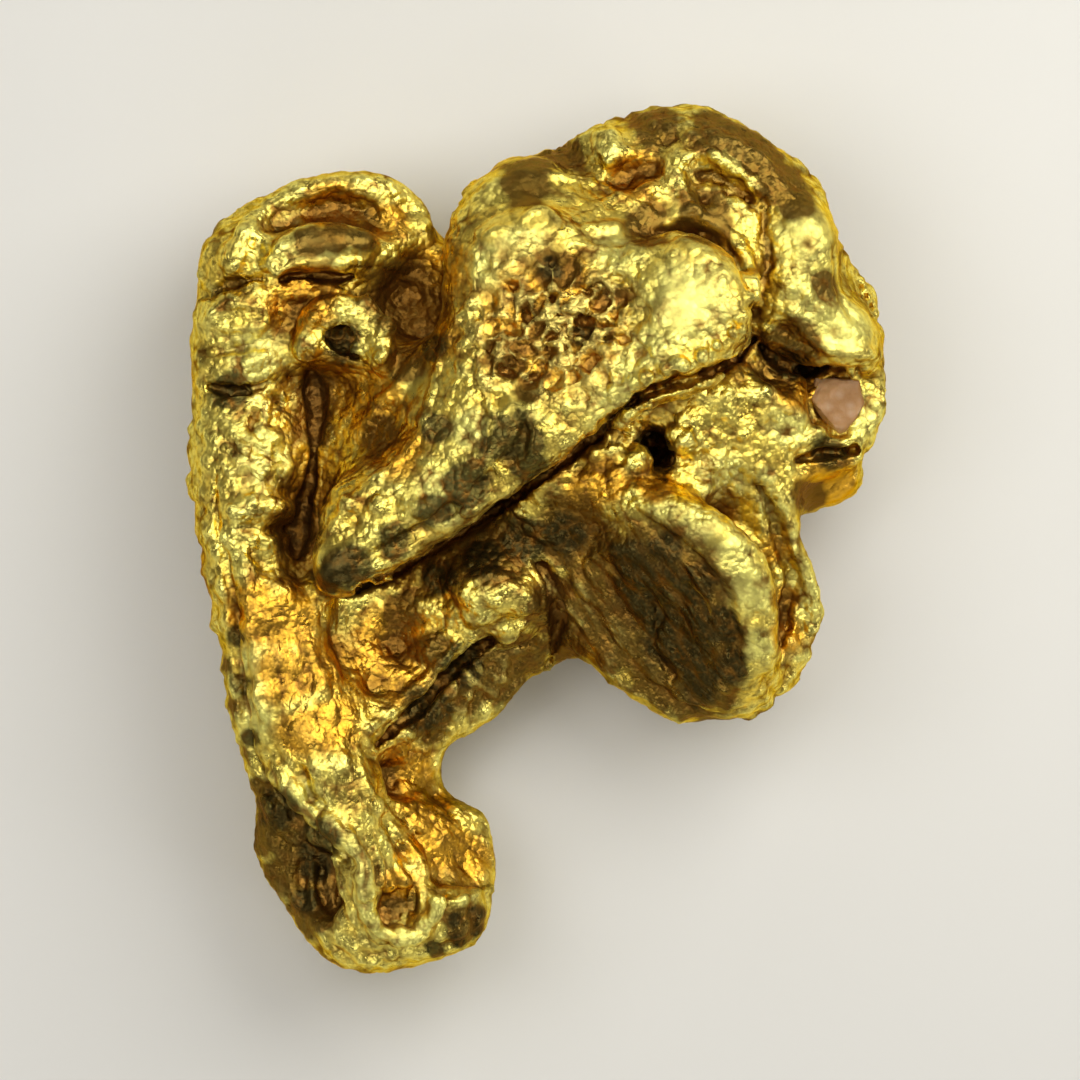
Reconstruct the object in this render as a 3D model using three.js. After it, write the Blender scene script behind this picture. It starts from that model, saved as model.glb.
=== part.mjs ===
// A natural gold nugget lying on its worn underside, with a grain of quartz caught in its hooked edge.
// Millimetres, +Z up. X runs across the nugget, Y along its length, and it rests on the plane Z = 0.
// The gold is one solid: round lobes melt into each other, and furrows, clefts and pits are taken out.
import * as THREE from "three";
import { mergeVertices } from "three/addons/utils/BufferGeometryUtils.js";

// Driving dimensions.
const LENGTH = 18; // overall, along Y
const WIDTH = 14.5; // overall, along X
const THICKNESS = 7.3; // overall, along Z
const CELL = 0.42; // step of the grid that the gold's surface is found on
const GRAIN_GAP = 0.3; // clearance between the quartz grain and the gold round it

const SAMPLE_STEP = 0.35; // spacing of the beads along a lobe's or furrow's curve
const BOX_ROOM = 0.3; // how far a smooth curve may pass outside the box of its points
const MARGIN = 3 * CELL; // empty room round the nugget inside the grid
const LAND_EDGE = 0.08; // softness of the edge round the worn lands
const POCKET_EDGE = 0.1; // softness of the edge of the quartz grain's pocket
const LAND_SNAP = 0.03; // vertices this near the resting plane are put on it
const RELAX = 0.5; // share of the way that a vertex moves to its neighbours' mean in one round
const RELAX_ROUNDS = 3;
const SETTLE_TURNS = 2; // steps in which a moved vertex goes back to the surface
const IN_THE_ARM = [-5.8, 0.4, 2.5]; // a place well inside the gold

// ---------------------------------------------------------------------------------------------
// The core: an uneven slab that everything else grows out of, inside the nugget's outline seen from above.
const CORE_OUTLINE = [
  [-6.2, 5.0], [-5.2, 6.6], [-3.2, 6.6], [-2.2, 5.6], [-0.8, 5.8], [-0.2, 6.9], [1.6, 7.7], [3.4, 8.0],
  [4.8, 6.9], [5.6, 5.0], [6.2, 3.6], [6.0, 1.8], [4.8, 0.4], [4.8, -1.6], [3.9, -3.0], [2.2, -2.6],
  [0.2, -1.9], [-1.2, -3.2], [-2.6, -4.6], [-2.2, -6.6], [-3.0, -8.0], [-4.6, -7.2], [-5.0, -5.0],
  [-5.8, -2.4], [-6.2, 0.6], [-6.3, 2.8],
];

// The forms, in the order they are made. Each one is added to the gold, or taken out of it where it says
// cut. soft is how widely it melts into what is there, or how widely its edge is rounded.
//   chain: round beads [x, y, z, radius] strung on a smooth curve.
//   leaf:  an outline in plan with a tilted top [z at the origin, rise along X, rise along Y], a thickness
//          and a rounded edge.
//   bowl:  a shallow dish of radius curve whose bottom is at a point, opening along towards, and no wider
//          than within.
const FORMS = [
  // Main masses.
  { name: "core", soft: 0.1, leaf: CORE_OUTLINE, top: [3.5, 0, 0], thick: 2.5, round: 1.1 },
  {
    name: "belly", soft: 0.8,
    chain: [[-0.8, 5.0, 1.9, 1.6], [1.0, 4.4, 1.5, 1.75], [2.8, 3.2, 1.8, 1.6], [2.6, 1.2, 2.0, 1.5]],
  },
  {
    name: "belly side", soft: 0.6,
    chain: [[-3.2, 1.8, 1.9, 1.2], [-2.2, 0.2, 1.8, 1.3], [-1.0, -0.6, 2.0, 1.2]],
  },
  { name: "crown sole", soft: 0.6, chain: [[1.6, 6.9, 1.9, 1.4], [3.4, 6.6, 1.35, 1.55]] },
  { name: "cap sole", soft: 0.6, chain: [[-5.3, 4.2, 1.7, 1.3], [-4.4, 5.7, 1.4, 1.6]] },
  { name: "foot sole", soft: 0.6, chain: [[-4.6, -4.2, 1.9, 1.2], [-3.6, -6.7, 1.4, 1.65]] },
  { name: "paw sole", soft: 0.6, chain: [[1.6, -0.8, 1.8, 1.4], [3.0, -1.9, 1.4, 1.65]] },
  {
    name: "brow sole", soft: 0.6,
    chain: [[5.0, 5.4, 2.2, 1.2], [5.7, 3.9, 2.2, 1.1], [5.6, 2.6, 2.1, 1.1]],
  },
  {
    name: "arm", soft: 0.5,
    chain: [
      [-6.15, 4.3, 3.0, 1.05], [-6.15, 2.9, 3.1, 0.95], [-6.05, 1.7, 3.3, 1.1], [-5.9, 0.4, 3.4, 1.15],
      [-5.6, -1.0, 3.4, 1.2], [-5.2, -2.5, 3.3, 1.4], [-4.8, -4.0, 3.1, 1.45], [-4.5, -5.2, 3.0, 1.45],
    ],
  },
  {
    name: "arm flank", soft: 0.6,
    chain: [[-4.3, -1.9, 3.0, 1.1], [-3.7, -3.1, 2.9, 1.3], [-3.3, -4.4, 2.7, 1.2]],
  },
  {
    name: "cap", soft: 0.5,
    chain: [[-5.35, 5.5, 2.6, 1.6], [-4.0, 6.05, 2.6, 1.62], [-3.1, 5.9, 2.6, 1.2]],
  },
  {
    name: "flank", soft: 0.5,
    top: [7.1, 0.736, -0.117], thick: 2.4, round: 0.5,
    leaf: [
      [-4.5, 0.7], [-4.35, 2.3], [-3.7, 3.6], [-2.6, 4.2], [-1.2, 4.6], [-0.9, 3.0], [-2.0, 1.4],
      [-3.4, 0.1],
    ],
  },
  {
    name: "shoulder", soft: 0.5,
    chain: [
      [-0.35, 6.8, 3.4, 1.15], [-0.55, 5.8, 4.0, 1.3], [-0.5, 4.6, 4.5, 1.4], [-0.8, 3.2, 4.4, 1.4],
    ],
  },
  {
    name: "tongue root", soft: 0.5,
    chain: [
      [-3.3, 0.45, 4.0, 0.6], [-2.1, 1.6, 4.2, 0.8], [-0.6, 3.0, 4.5, 1.2], [1.2, 4.3, 4.8, 1.4],
      [2.8, 5.0, 5.0, 1.2],
    ],
  },
  {
    name: "crown", soft: 0.45,
    chain: [
      [0.6, 7.1, 3.0, 0.95], [1.75, 7.7, 3.1, 1.1], [3.3, 7.8, 3.2, 1.2], [4.7, 6.9, 3.3, 1.2],
      [5.3, 5.8, 3.4, 1.0],
    ],
  },
  {
    name: "crown floor", soft: 0.5,
    chain: [
      [1.0, 6.7, 3.9, 0.8], [2.6, 6.9, 3.9, 0.8], [3.9, 6.5, 3.9, 0.8], [4.6, 5.5, 3.7, 0.8],
      [4.8, 4.4, 3.4, 0.9],
    ],
  },
  {
    name: "saddle", soft: 0.5,
    chain: [
      [0.2, 1.1, 3.5, 1.25], [1.6, 2.0, 3.7, 1.35], [3.0, 2.8, 3.7, 1.3], [4.2, 2.9, 3.4, 1.2],
      [4.6, 1.8, 3.1, 1.1],
    ],
  },
  {
    name: "paw", soft: 0.5,
    chain: [[1.75, -0.5, 3.3, 1.55], [2.5, -1.3, 3.5, 2.0], [3.35, -2.0, 3.0, 1.8]],
  },
  {
    name: "ledge", soft: 0.45,
    chain: [[-3.2, -2.6, 2.9, 1.15], [-2.2, -2.0, 3.0, 1.2], [-0.9, -1.2, 3.2, 1.25]],
  },
  {
    name: "ledge sill", soft: 0.4,
    chain: [
      [-2.4, -3.6, 2.4, 0.9], [-1.6, -3.15, 2.3, 0.95], [-0.6, -2.45, 2.4, 0.9], [0.3, -2.0, 2.4, 0.8],
    ],
  },
  {
    name: "foot", soft: 0.4,
    chain: [[-4.4, -6.4, 2.8, 1.5], [-3.4, -7.3, 2.8, 1.62], [-2.3, -7.2, 2.7, 1.5]],
  },
  { name: "heel", soft: 0.4, chain: [[-2.8, -5.0, 2.6, 1.05], [-2.0, -6.3, 2.6, 1.2]] },

  // The tongue: a thick fold that lies across the top and overhangs the saddle.
  {
    name: "tongue", soft: 0.3,
    top: [6.35, 0.24, -0.06], thick: 1.5, round: 0.45,
    leaf: [
      [-4.6, -0.6], [-4.1, -1.05], [-1.45, 0.35], [0, 1.45], [1.25, 2.45], [2.9, 3.3], [4.0, 3.95],
      [4.4, 4.8], [4.2, 5.7], [3.2, 6.3], [2.0, 6.2], [1.2, 6.1], [0.5, 6.7], [-0.4, 6.9], [-1.2, 6.4],
      [-1.4, 5.0], [-1.75, 3.8], [-2.3, 2.9], [-3.2, 1.7], [-4.4, 0.8],
    ],
  },
  {
    name: "tongue back", soft: 0.6,
    chain: [[-2.6, 1.0, 4.8, 0.8], [-0.8, 2.8, 4.9, 1.1], [0.4, 4.2, 5.1, 1.2]],
  },
  {
    name: "tongue crest", soft: 0.6,
    chain: [
      [-4.05, -0.4, 4.95, 0.5], [-2.6, 0.5, 5.2, 0.55], [-1.2, 1.5, 5.5, 0.6], [0.4, 2.6, 5.9, 0.7],
      [1.9, 3.7, 6.0, 0.95], [2.9, 4.5, 5.7, 1.35], [3.0, 5.0, 5.7, 1.3],
    ],
  },
  {
    name: "tongue hollow", cut: true, soft: 0.6,
    bowl: { at: [0.4, 4.4, 6.15], towards: [-0.15, 0.1, 1], curve: 4.5, within: 1.8 },
  },
  {
    name: "hood", soft: 0.4,
    chain: [
      [-1.1, 5.4, 4.6, 0.7], [-1.0, 6.4, 4.4, 0.75], [-0.2, 7.1, 4.2, 0.8], [0.7, 6.7, 4.6, 0.6],
      [1.3, 6.0, 5.0, 0.6],
    ],
  },
  {
    name: "ribbon", soft: 0.3,
    chain: [
      [1.2, 6.4, 4.6, 0.4], [2.2, 6.9, 4.5, 0.5], [3.4, 6.9, 4.4, 0.5], [4.4, 6.2, 4.5, 0.45],
      [4.8, 5.3, 4.4, 0.45],
    ],
  },

  // Crown, brow and hook.
  { name: "crown knuckle", soft: 0.25, chain: [[1.3, 7.85, 3.5, 0.72], [1.7, 7.9, 4.0, 0.6]] },
  {
    name: "crown fold", soft: 0.2,
    chain: [
      [2.75, 7.7, 4.3, 0.4], [3.3, 8.15, 4.2, 0.42], [4.1, 7.9, 4.3, 0.45], [4.75, 7.3, 4.2, 0.5],
    ],
  },
  { name: "brow", soft: 0.25, chain: [[5.3, 6.7, 4.0, 0.75], [5.45, 6.2, 4.3, 0.75]] },
  { name: "brow below", soft: 0.2, chain: [[5.25, 5.4, 4.2, 0.8], [5.2, 4.8, 4.2, 0.7]] },
  {
    name: "brow side", soft: 0.3,
    chain: [[5.5, 6.0, 3.0, 0.75], [5.9, 5.3, 3.0, 0.8], [6.35, 4.6, 3.0, 0.75]],
  },
  {
    name: "brow lobe", soft: 0.25,
    chain: [[5.7, 4.6, 4.1, 0.75], [6.3, 4.2, 3.9, 0.8], [6.5, 4.0, 3.6, 0.65]],
  },
  { name: "hook floor", soft: 0.4, chain: [[6.1, 3.3, 2.3, 0.9], [6.0, 2.5, 2.3, 0.85]] },
  {
    name: "hook", soft: 0.2,
    chain: [
      [6.7, 4.2, 3.2, 0.55], [6.84, 3.5, 3.2, 0.42], [6.84, 2.8, 3.3, 0.42], [6.6, 2.15, 3.4, 0.45],
      [6.0, 1.85, 3.5, 0.45], [5.3, 1.9, 3.5, 0.5],
    ],
  },
  { name: "hook pad", soft: 0.3, chain: [[6.0, 1.55, 2.3, 0.85], [5.5, 1.4, 2.3, 0.85]] },
  {
    name: "saddle bump", soft: 0.4,
    chain: [[4.9, 2.9, 3.7, 0.75], [4.2, 2.0, 3.8, 0.75], [3.3, 1.4, 4.0, 0.7]],
  },

  // Paw.
  {
    name: "paw face", cut: true, soft: 0.5,
    bowl: { at: [2.2, -1.9, 4.1], towards: [-0.36, -0.42, 0.83], curve: 16, within: 3.2 },
  },
  {
    name: "paw ridge", soft: 0.3,
    chain: [
      [1.3, 0.9, 4.3, 0.5], [2.5, 0.7, 4.8, 0.6], [3.4, 0.0, 5.0, 0.7], [4.0, -1.1, 4.8, 0.7],
      [4.3, -2.3, 4.1, 0.7], [4.3, -3.0, 3.3, 0.7],
    ],
  },
  {
    name: "paw side", soft: 0.4,
    chain: [
      [4.3, 1.2, 3.0, 0.85], [4.5, 0.0, 2.9, 0.9], [4.75, -1.2, 2.6, 0.85], [4.6, -2.4, 2.4, 0.85],
    ],
  },
  {
    name: "paw rim", soft: 0.3,
    chain: [
      [4.2, 2.0, 4.0, 0.45], [4.9, 0.9, 3.7, 0.5], [5.1, -0.3, 3.4, 0.5], [5.3, -1.4, 3.0, 0.5],
      [5.1, -2.6, 2.7, 0.55],
    ],
  },

  // Ledge and foot.
  { name: "ledge knob", soft: 0.5, chain: [[-1.4, -1.5, 3.4, 0.9], [-0.5, -1.4, 3.7, 0.85]] },
  {
    name: "ledge valley", cut: true, soft: 0.5,
    bowl: { at: [-2.9, -2.0, 3.5], towards: [-0.1, 0.3, 1], curve: 3, within: 1.5 },
  },
  {
    name: "ledge fall", cut: true, soft: 0.35,
    bowl: { at: [-1.6, -3.1, 3.0], towards: [0.5, -0.55, 0.67], curve: 9, within: 2.4 },
  },
  {
    name: "foot dish", cut: true, soft: 0.3,
    bowl: { at: [-4.8, -6.9, 3.3], towards: [-0.5, -0.25, 0.85], curve: 1.6, within: 1.3 },
  },
  {
    name: "toe dish", cut: true, soft: 0.3,
    bowl: { at: [-2.8, -7.6, 4.0], towards: [0.1, -0.35, 0.9], curve: 1.6, within: 0.9 },
  },
  {
    name: "heel slope", cut: true, soft: 0.3,
    bowl: { at: [-2.0, -5.9, 3.1], towards: [0.5, 0.15, 0.85], curve: 6, within: 1.5 },
  },
  {
    name: "shin ridge", soft: 0.4,
    chain: [
      [-4.9, -4.0, 4.2, 0.5], [-4.2, -4.9, 4.2, 0.55], [-3.8, -5.9, 4.1, 0.55], [-3.6, -6.9, 4.0, 0.5],
    ],
  },

  // Cap, knuckles and the knob with a hole.
  {
    name: "cap hollow", cut: true, soft: 0.25,
    bowl: { at: [-4.2, 6.75, 3.55], towards: [0.05, 0.15, 1], curve: 1.1, within: 1.3 },
  },
  {
    name: "cap fold", soft: 0.2,
    chain: [[-5.4, 5.75, 3.9, 0.35], [-4.5, 6.0, 4.0, 0.5], [-3.6, 5.95, 3.9, 0.45]],
  },
  { name: "upper knuckle", soft: 0.2, chain: [[-6.3, 5.8, 3.4, 0.7], [-5.7, 6.0, 3.8, 0.5]] },
  { name: "middle knuckle", soft: 0.12, chain: [[-6.45, 4.75, 3.6, 0.65], [-5.8, 4.9, 3.8, 0.65]] },
  { name: "lower knuckle", soft: 0.12, chain: [[-6.45, 3.75, 3.5, 0.7], [-5.8, 3.8, 3.7, 0.65]] },
  {
    name: "knob", soft: 0.3,
    chain: [[-4.6, 4.1, 3.9, 0.6], [-4.1, 4.35, 4.0, 0.7], [-3.5, 4.1, 4.0, 0.65]],
  },

  // Clefts and pockets.
  {
    name: "cleft beside the arm", cut: true, soft: 0.2,
    chain: [
      [-4.6, 3.2, 4.4, 0.4], [-4.75, 2.4, 4.0, 0.35], [-4.75, 1.4, 4.0, 0.4], [-4.9, 0.4, 4.0, 0.5],
      [-4.9, -0.4, 4.3, 0.45],
    ],
  },
  {
    name: "pocket under the cap", cut: true, soft: 0.4,
    chain: [[-2.5, 5.8, 4.4, 0.45], [-2.8, 5.1, 4.1, 0.55], [-2.6, 4.6, 4.5, 0.4]],
  },
  { name: "notch", cut: true, soft: 0.25, chain: [[-1.95, 7.3, 2.8, 0.36], [-1.95, 6.7, 3.6, 0.3]] },
  {
    name: "undercut of the tongue", cut: true, soft: 0.15,
    chain: [
      [-3.9, -1.35, 4.3, 0.25], [-2.4, -0.5, 4.5, 0.28], [-0.9, 0.6, 4.7, 0.28], [0.6, 1.6, 4.9, 0.28],
      [2.2, 2.7, 5.0, 0.3], [3.6, 3.5, 5.0, 0.35], [4.6, 4.1, 4.7, 0.35],
    ],
  },
  {
    name: "throat beside the hook", cut: true, soft: 0.2,
    chain: [[4.6, 3.7, 4.3, 0.35], [5.3, 3.4, 4.2, 0.35]],
  },
  {
    name: "hole in the saddle", cut: true, soft: 0.25,
    chain: [[2.4, 2.0, 5.0, 0.5], [2.4, 1.9, 3.5, 0.42]],
  },
  {
    name: "crevice beside the paw", cut: true, soft: 0.2,
    chain: [[0.45, -0.1, 4.8, 0.3], [0.45, -1.3, 4.2, 0.3], [0.45, -2.4, 3.4, 0.3]],
  },
  {
    name: "gully along the paw", cut: true, soft: 0.2,
    chain: [[4.1, 0.9, 4.7, 0.35], [4.5, -0.3, 4.3, 0.35], [4.75, -1.6, 3.8, 0.35]],
  },

  // The underside.
  {
    name: "belly dish", cut: true, soft: 0.4,
    bowl: { at: [-0.6, 2.6, 0.9], towards: [-0.2, -0.3, -1], curve: 3, within: 1.8 },
  },
  {
    name: "arm dish", cut: true, soft: 0.4,
    bowl: { at: [-5.3, 0.2, 1.4], towards: [-0.2, 0, -1], curve: 5, within: 2.0 },
  },
];

// The quartz grain: its middle, its half sizes, and where it is broken off flat [towards, reach].
const GRAIN = { centre: [6.1, 2.9, 3.4], size: [0.45, 0.5, 0.4] };
const GRAIN_BREAKS = [
  [0.1, 1, 0.25, 0.72], [0.2, 0.1, 1, 0.75], [-1, -0.5, 0.4, 0.7], [0.9, -0.7, 0.2, 0.75],
  [-0.7, 0.8, 0.1, 0.8],
];

// ---------------------------------------------------------------------------------------------
// Distances: negative inside the gold, positive outside.

// The smaller of two distances, with a fillet of size k where they are close.
function melt(a, b, k) {
  const h = Math.max(k - Math.abs(a - b), 0) / k;
  return Math.min(a, b) - (h * h * k) / 4;
}

// What is left of a after b is taken out, with an edge rounded by k.
function carve(a, b, k) {
  return -melt(-a, b, k);
}

// The beads of a chain, closely spaced along a smooth curve through the given ones.
function strung(beads) {
  const places = beads.map(([x, y, z]) => new THREE.Vector3(x, y, z));
  const curve = new THREE.CatmullRomCurve3(places, false, "centripetal");
  const radii = new THREE.SplineCurve(beads.map((bead, i) => new THREE.Vector2(i, bead[3])));
  const count = Math.max(2, Math.ceil(curve.getLength() / SAMPLE_STEP));
  return Array.from({ length: count + 1 }, (_, i) => {
    const place = curve.getPoint(i / count);
    return [place.x, place.y, place.z, radii.getPoint(i / count).y];
  });
}

// Distance to a chain, whose links are cones with round ends.
function chainDistance({ chain }) {
  const beads = strung(chain);
  return (x, y, z) => {
    let least = Infinity;
    for (let i = 0; i < beads.length - 1; i++) {
      const a = beads[i];
      const b = beads[i + 1];
      const [bx, by, bz] = [b[0] - a[0], b[1] - a[1], b[2] - a[2]];
      const [px, py, pz] = [x - a[0], y - a[1], z - a[2]];
      const square = bx * bx + by * by + bz * bz;
      const along = Math.min(1, Math.max(0, (px * bx + py * by + pz * bz) / square));
      const gap = Math.hypot(px - along * bx, py - along * by, pz - along * bz);
      least = Math.min(least, gap - (a[3] + along * (b[3] - a[3])));
    }
    return least;
  };
}

// Distance to a closed outline in plan, negative inside it.
function outlineDistance(points, x, y) {
  let square = Infinity;
  let inside = false;
  points.forEach(([ax, ay], i) => {
    const [bx, by] = points[(i + 1) % points.length];
    const [ex, ey] = [bx - ax, by - ay];
    const along = Math.min(1, Math.max(0, ((x - ax) * ex + (y - ay) * ey) / (ex * ex + ey * ey)));
    square = Math.min(square, (x - ax - along * ex) ** 2 + (y - ay - along * ey) ** 2);
    if (ay > y !== by > y && x < ax + ((y - ay) / (by - ay)) * ex) inside = !inside;
  });
  return inside ? -Math.sqrt(square) : Math.sqrt(square);
}

function leafDistance({ leaf, top, thick, round }) {
  const curve = new THREE.SplineCurve([...leaf, leaf[0]].map(([x, y]) => new THREE.Vector2(x, y)));
  const outline = curve.getPoints(4 * leaf.length).slice(0, -1);
  const points = outline.map((point) => [point.x, point.y]);
  return (x, y, z) => {
    const middle = top[0] + top[1] * x + top[2] * y - thick / 2;
    const across = outlineDistance(points, x, y) + round;
    const upright = Math.abs(z - middle) - thick / 2 + round;
    const outside = Math.hypot(Math.max(across, 0), Math.max(upright, 0));
    return outside + Math.min(Math.max(across, upright), 0) - round;
  };
}

function bowlDistance({ bowl }) {
  const at = new THREE.Vector3(...bowl.at);
  const centre = new THREE.Vector3(...bowl.towards).setLength(bowl.curve).add(at);
  const place = new THREE.Vector3();
  return (x, y, z) => {
    place.set(x, y, z);
    return Math.max(place.distanceTo(centre) - bowl.curve, place.distanceTo(at) - bowl.within);
  };
}

function distanceOf(form) {
  if (form.chain) return chainDistance(form);
  return form.leaf ? leafDistance(form) : bowlDistance(form);
}

// The box that holds a form, so that places far from it needn't ask for its distance.
function boxOf(form) {
  const box = new THREE.Box3();
  for (const [x, y, z, radius] of form.chain ?? []) {
    box.expandByPoint(new THREE.Vector3(x - radius, y - radius, z - radius));
    box.expandByPoint(new THREE.Vector3(x + radius, y + radius, z + radius));
  }
  for (const [x, y] of form.leaf ?? []) {
    const top = form.top[0] + form.top[1] * x + form.top[2] * y;
    box.expandByPoint(new THREE.Vector3(x, y, top));
    box.expandByPoint(new THREE.Vector3(x, y, top - form.thick));
  }
  if (form.bowl) {
    box.expandByPoint(new THREE.Vector3(...form.bowl.at));
    box.expandByScalar(form.bowl.within);
  }
  return box.expandByScalar(BOX_ROOM);
}

const forms = FORMS.map((form) => ({ ...form, distance: distanceOf(form), box: boxOf(form) }));

function grainDistance(x, y, z) {
  const [cx, cy, cz] = GRAIN.centre;
  const [sx, sy, sz] = GRAIN.size;
  return (Math.hypot((x - cx) / sx, (y - cy) / sy, (z - cz) / sz) - 1) * Math.min(sx, sy, sz);
}

function gold(x, y, z) {
  let d = THICKNESS;
  const place = new THREE.Vector3(x, y, z);
  for (const { cut, soft, distance, box } of forms) {
    const reach = soft + (cut ? -d : d);
    if (box.distanceToPoint(place) < reach) d = (cut ? carve : melt)(d, distance(x, y, z), soft);
  }
  d = carve(d, grainDistance(x, y, z) - GRAIN_GAP, POCKET_EDGE);
  return carve(d, z, LAND_EDGE);
}

// ---------------------------------------------------------------------------------------------
// The surface where a distance is zero, as one closed mesh on a regular grid.

class Grid {
  constructor(distance, low, high) {
    this.low = low;
    this.size = low.map((value, axis) => Math.ceil((high[axis] - value) / CELL) + 1);
    const [nx, ny, nz] = this.size;
    this.step = [1, nx, nx * ny];
    this.value = new Float64Array(nx * ny * nz);
    for (let k = 0, at = 0; k < nz; k++)
      for (let j = 0; j < ny; j++)
        for (let i = 0; i < nx; i++, at++) this.value[at] = distance(...this.place(i, j, k));
  }

  place(i, j, k) {
    return [this.low[0] + i * CELL, this.low[1] + j * CELL, this.low[2] + k * CELL];
  }

  // Every grid point that can be reached from the first one that fits, without changing side.
  flood(start, keep) {
    const reached = new Uint8Array(this.value.length);
    const queue = [start];
    reached[start] = 1;
    while (queue.length) {
      const at = queue.pop();
      for (const step of this.step)
        for (const next of [at - step, at + step])
          if (next >= 0 && next < this.value.length && !reached[next] && keep(this.value[next])) {
            reached[next] = 1;
            queue.push(next);
          }
    }
    return reached;
  }

  // Leaves one solid with no sealed cavity and no crumb beside it.
  makeWhole(inside) {
    const solid = this.flood(inside, (v) => v < 0);
    this.value.forEach((v, at) => {
      if (v < 0 && !solid[at]) this.value[at] = CELL / 4;
    });
    const air = this.flood(0, (v) => v >= 0);
    this.value.forEach((v, at) => {
      if (v >= 0 && !air[at]) this.value[at] = -CELL / 4;
    });
  }

  // Fills grid points where two sheets of surface would meet in one line or one point. Says whether it did.
  partSheets() {
    const [nx, ny, nz] = this.size;
    const inside = (at) => this.value[at] < 0;
    const fill = (at) => {
      if (!inside(at)) this.value[at] = -CELL / 8;
    };
    const faces = [[1, nx], [nx, nx * ny], [nx * ny, 1]];
    const diagonals = [[0, 1 + nx + nx * ny], [1, nx + nx * ny], [nx, 1 + nx * ny], [nx * ny, 1 + nx]];
    const corners = [0, 1, nx, nx + 1, nx * ny, nx * ny + 1, nx * ny + nx, nx * ny + nx + 1];
    let changed = false;
    for (let k = 0; k < nz - 1; k++)
      for (let j = 0; j < ny - 1; j++)
        for (let i = 0; i < nx - 1; i++) {
          const at = i + j * nx + k * nx * ny;
          for (const [a, b] of faces) {
            const here = inside(at);
            if (here === inside(at + a + b) && inside(at + a) === inside(at + b) && here !== inside(at + a)) {
              [at, at + a, at + b, at + a + b].forEach(fill);
              changed = true;
            }
          }
          const full = corners.filter((corner) => inside(at + corner)).length;
          for (const [a, b] of diagonals) {
            const touching = full === 2 && inside(at + a) && inside(at + b);
            const pinched = full === 6 && !inside(at + a) && !inside(at + b);
            if (touching || pinched) {
              corners.forEach((corner) => fill(at + corner));
              changed = true;
            }
          }
        }
    return changed;
  }
}

// Moves a point along the distance's slope until it lies on the surface.
function settle(distance, point) {
  const e = CELL / 4;
  let [x, y, z] = point;
  for (let turn = 0; turn < SETTLE_TURNS; turn++) {
    const d = distance(x, y, z);
    const slope = [
      (distance(x + e, y, z) - distance(x - e, y, z)) / (2 * e),
      (distance(x, y + e, z) - distance(x, y - e, z)) / (2 * e),
      (distance(x, y, z + e) - distance(x, y, z - e)) / (2 * e),
    ];
    const square = Math.max(0.25, slope[0] ** 2 + slope[1] ** 2 + slope[2] ** 2);
    const move = Math.min(CELL / 3, Math.max(-CELL / 3, d)) / square;
    x -= move * slope[0];
    y -= move * slope[1];
    z -= move * slope[2];
  }
  return [x, y, z];
}

// One vertex in each cell that the surface crosses, joined across each grid edge that it crosses.
function surfaceOf(distance, low, high, inside) {
  const grid = new Grid(distance, low, high);
  const [i0, j0, k0] = inside.map((value, axis) => Math.round((value - low[axis]) / CELL));
  const start = i0 * grid.step[0] + j0 * grid.step[1] + k0 * grid.step[2];
  do grid.makeWhole(start);
  while (grid.partSheets());
  const [nx, ny, nz] = grid.size;
  const { value } = grid;
  const vertexOf = new Int32Array(value.length).fill(-1);
  const vertices = [];
  for (let k = 0; k < nz - 1; k++)
    for (let j = 0; j < ny - 1; j++)
      for (let i = 0; i < nx - 1; i++) {
        const at = i + j * nx + k * nx * ny;
        const sum = [0, 0, 0];
        let crossings = 0;
        for (const [a, b, axis, place] of CELL_EDGES) {
          const va = value[at + a[0] + a[1] * nx + a[2] * nx * ny];
          const vb = value[at + b[0] + b[1] * nx + b[2] * nx * ny];
          if (va < 0 === vb < 0) continue;
          const share = va / (va - vb);
          place.forEach((p, n) => (sum[n] += n === axis ? share : p));
          crossings++;
        }
        if (!crossings) continue;
        vertexOf[at] = vertices.length;
        vertices.push(grid.place(i + sum[0] / crossings, j + sum[1] / crossings, k + sum[2] / crossings));
      }
  const quads = [];
  for (let k = 1; k < nz - 1; k++)
    for (let j = 1; j < ny - 1; j++)
      for (let i = 1; i < nx - 1; i++) {
        const at = i + j * nx + k * nx * ny;
        for (let axis = 0; axis < 3; axis++) {
          const here = value[at] < 0;
          if (here === value[at + grid.step[axis]] < 0) continue;
          const u = grid.step[(axis + 1) % 3];
          const v = grid.step[(axis + 2) % 3];
          const ring = [at, at - u, at - u - v, at - v].map((cell) => vertexOf[cell]);
          quads.push(here ? ring : ring.reverse());
        }
      }
  return { vertices, quads };
}

// The 12 edges of a cell: its two corners, the axis it runs along, and where it is.
const CELL_EDGES = [0, 1, 2].flatMap((axis) =>
  [[0, 0], [0, 1], [1, 0], [1, 1]].map(([p, q]) => {
    const a = [0, 0, 0];
    a[(axis + 1) % 3] = p;
    a[(axis + 2) % 3] = q;
    const b = [...a];
    b[axis] = 1;
    return [a, b, axis, a];
  }),
);

// Evens out the vertices' spacing, keeping each one on the surface.
function relaxed(distance, vertices, quads) {
  const sums = vertices.map(() => [0, 0, 0, 0]);
  for (const quad of quads)
    quad.forEach((a, n) => {
      for (const b of [quad[(n + 1) % 4], quad[(n + 3) % 4]]) {
        for (let axis = 0; axis < 3; axis++) sums[a][axis] += vertices[b][axis];
        sums[a][3]++;
      }
    });
  return vertices.map((vertex, i) => {
    const mean = vertex.map((value, axis) => value + RELAX * (sums[i][axis] / sums[i][3] - value));
    return settle(distance, mean);
  });
}

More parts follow.
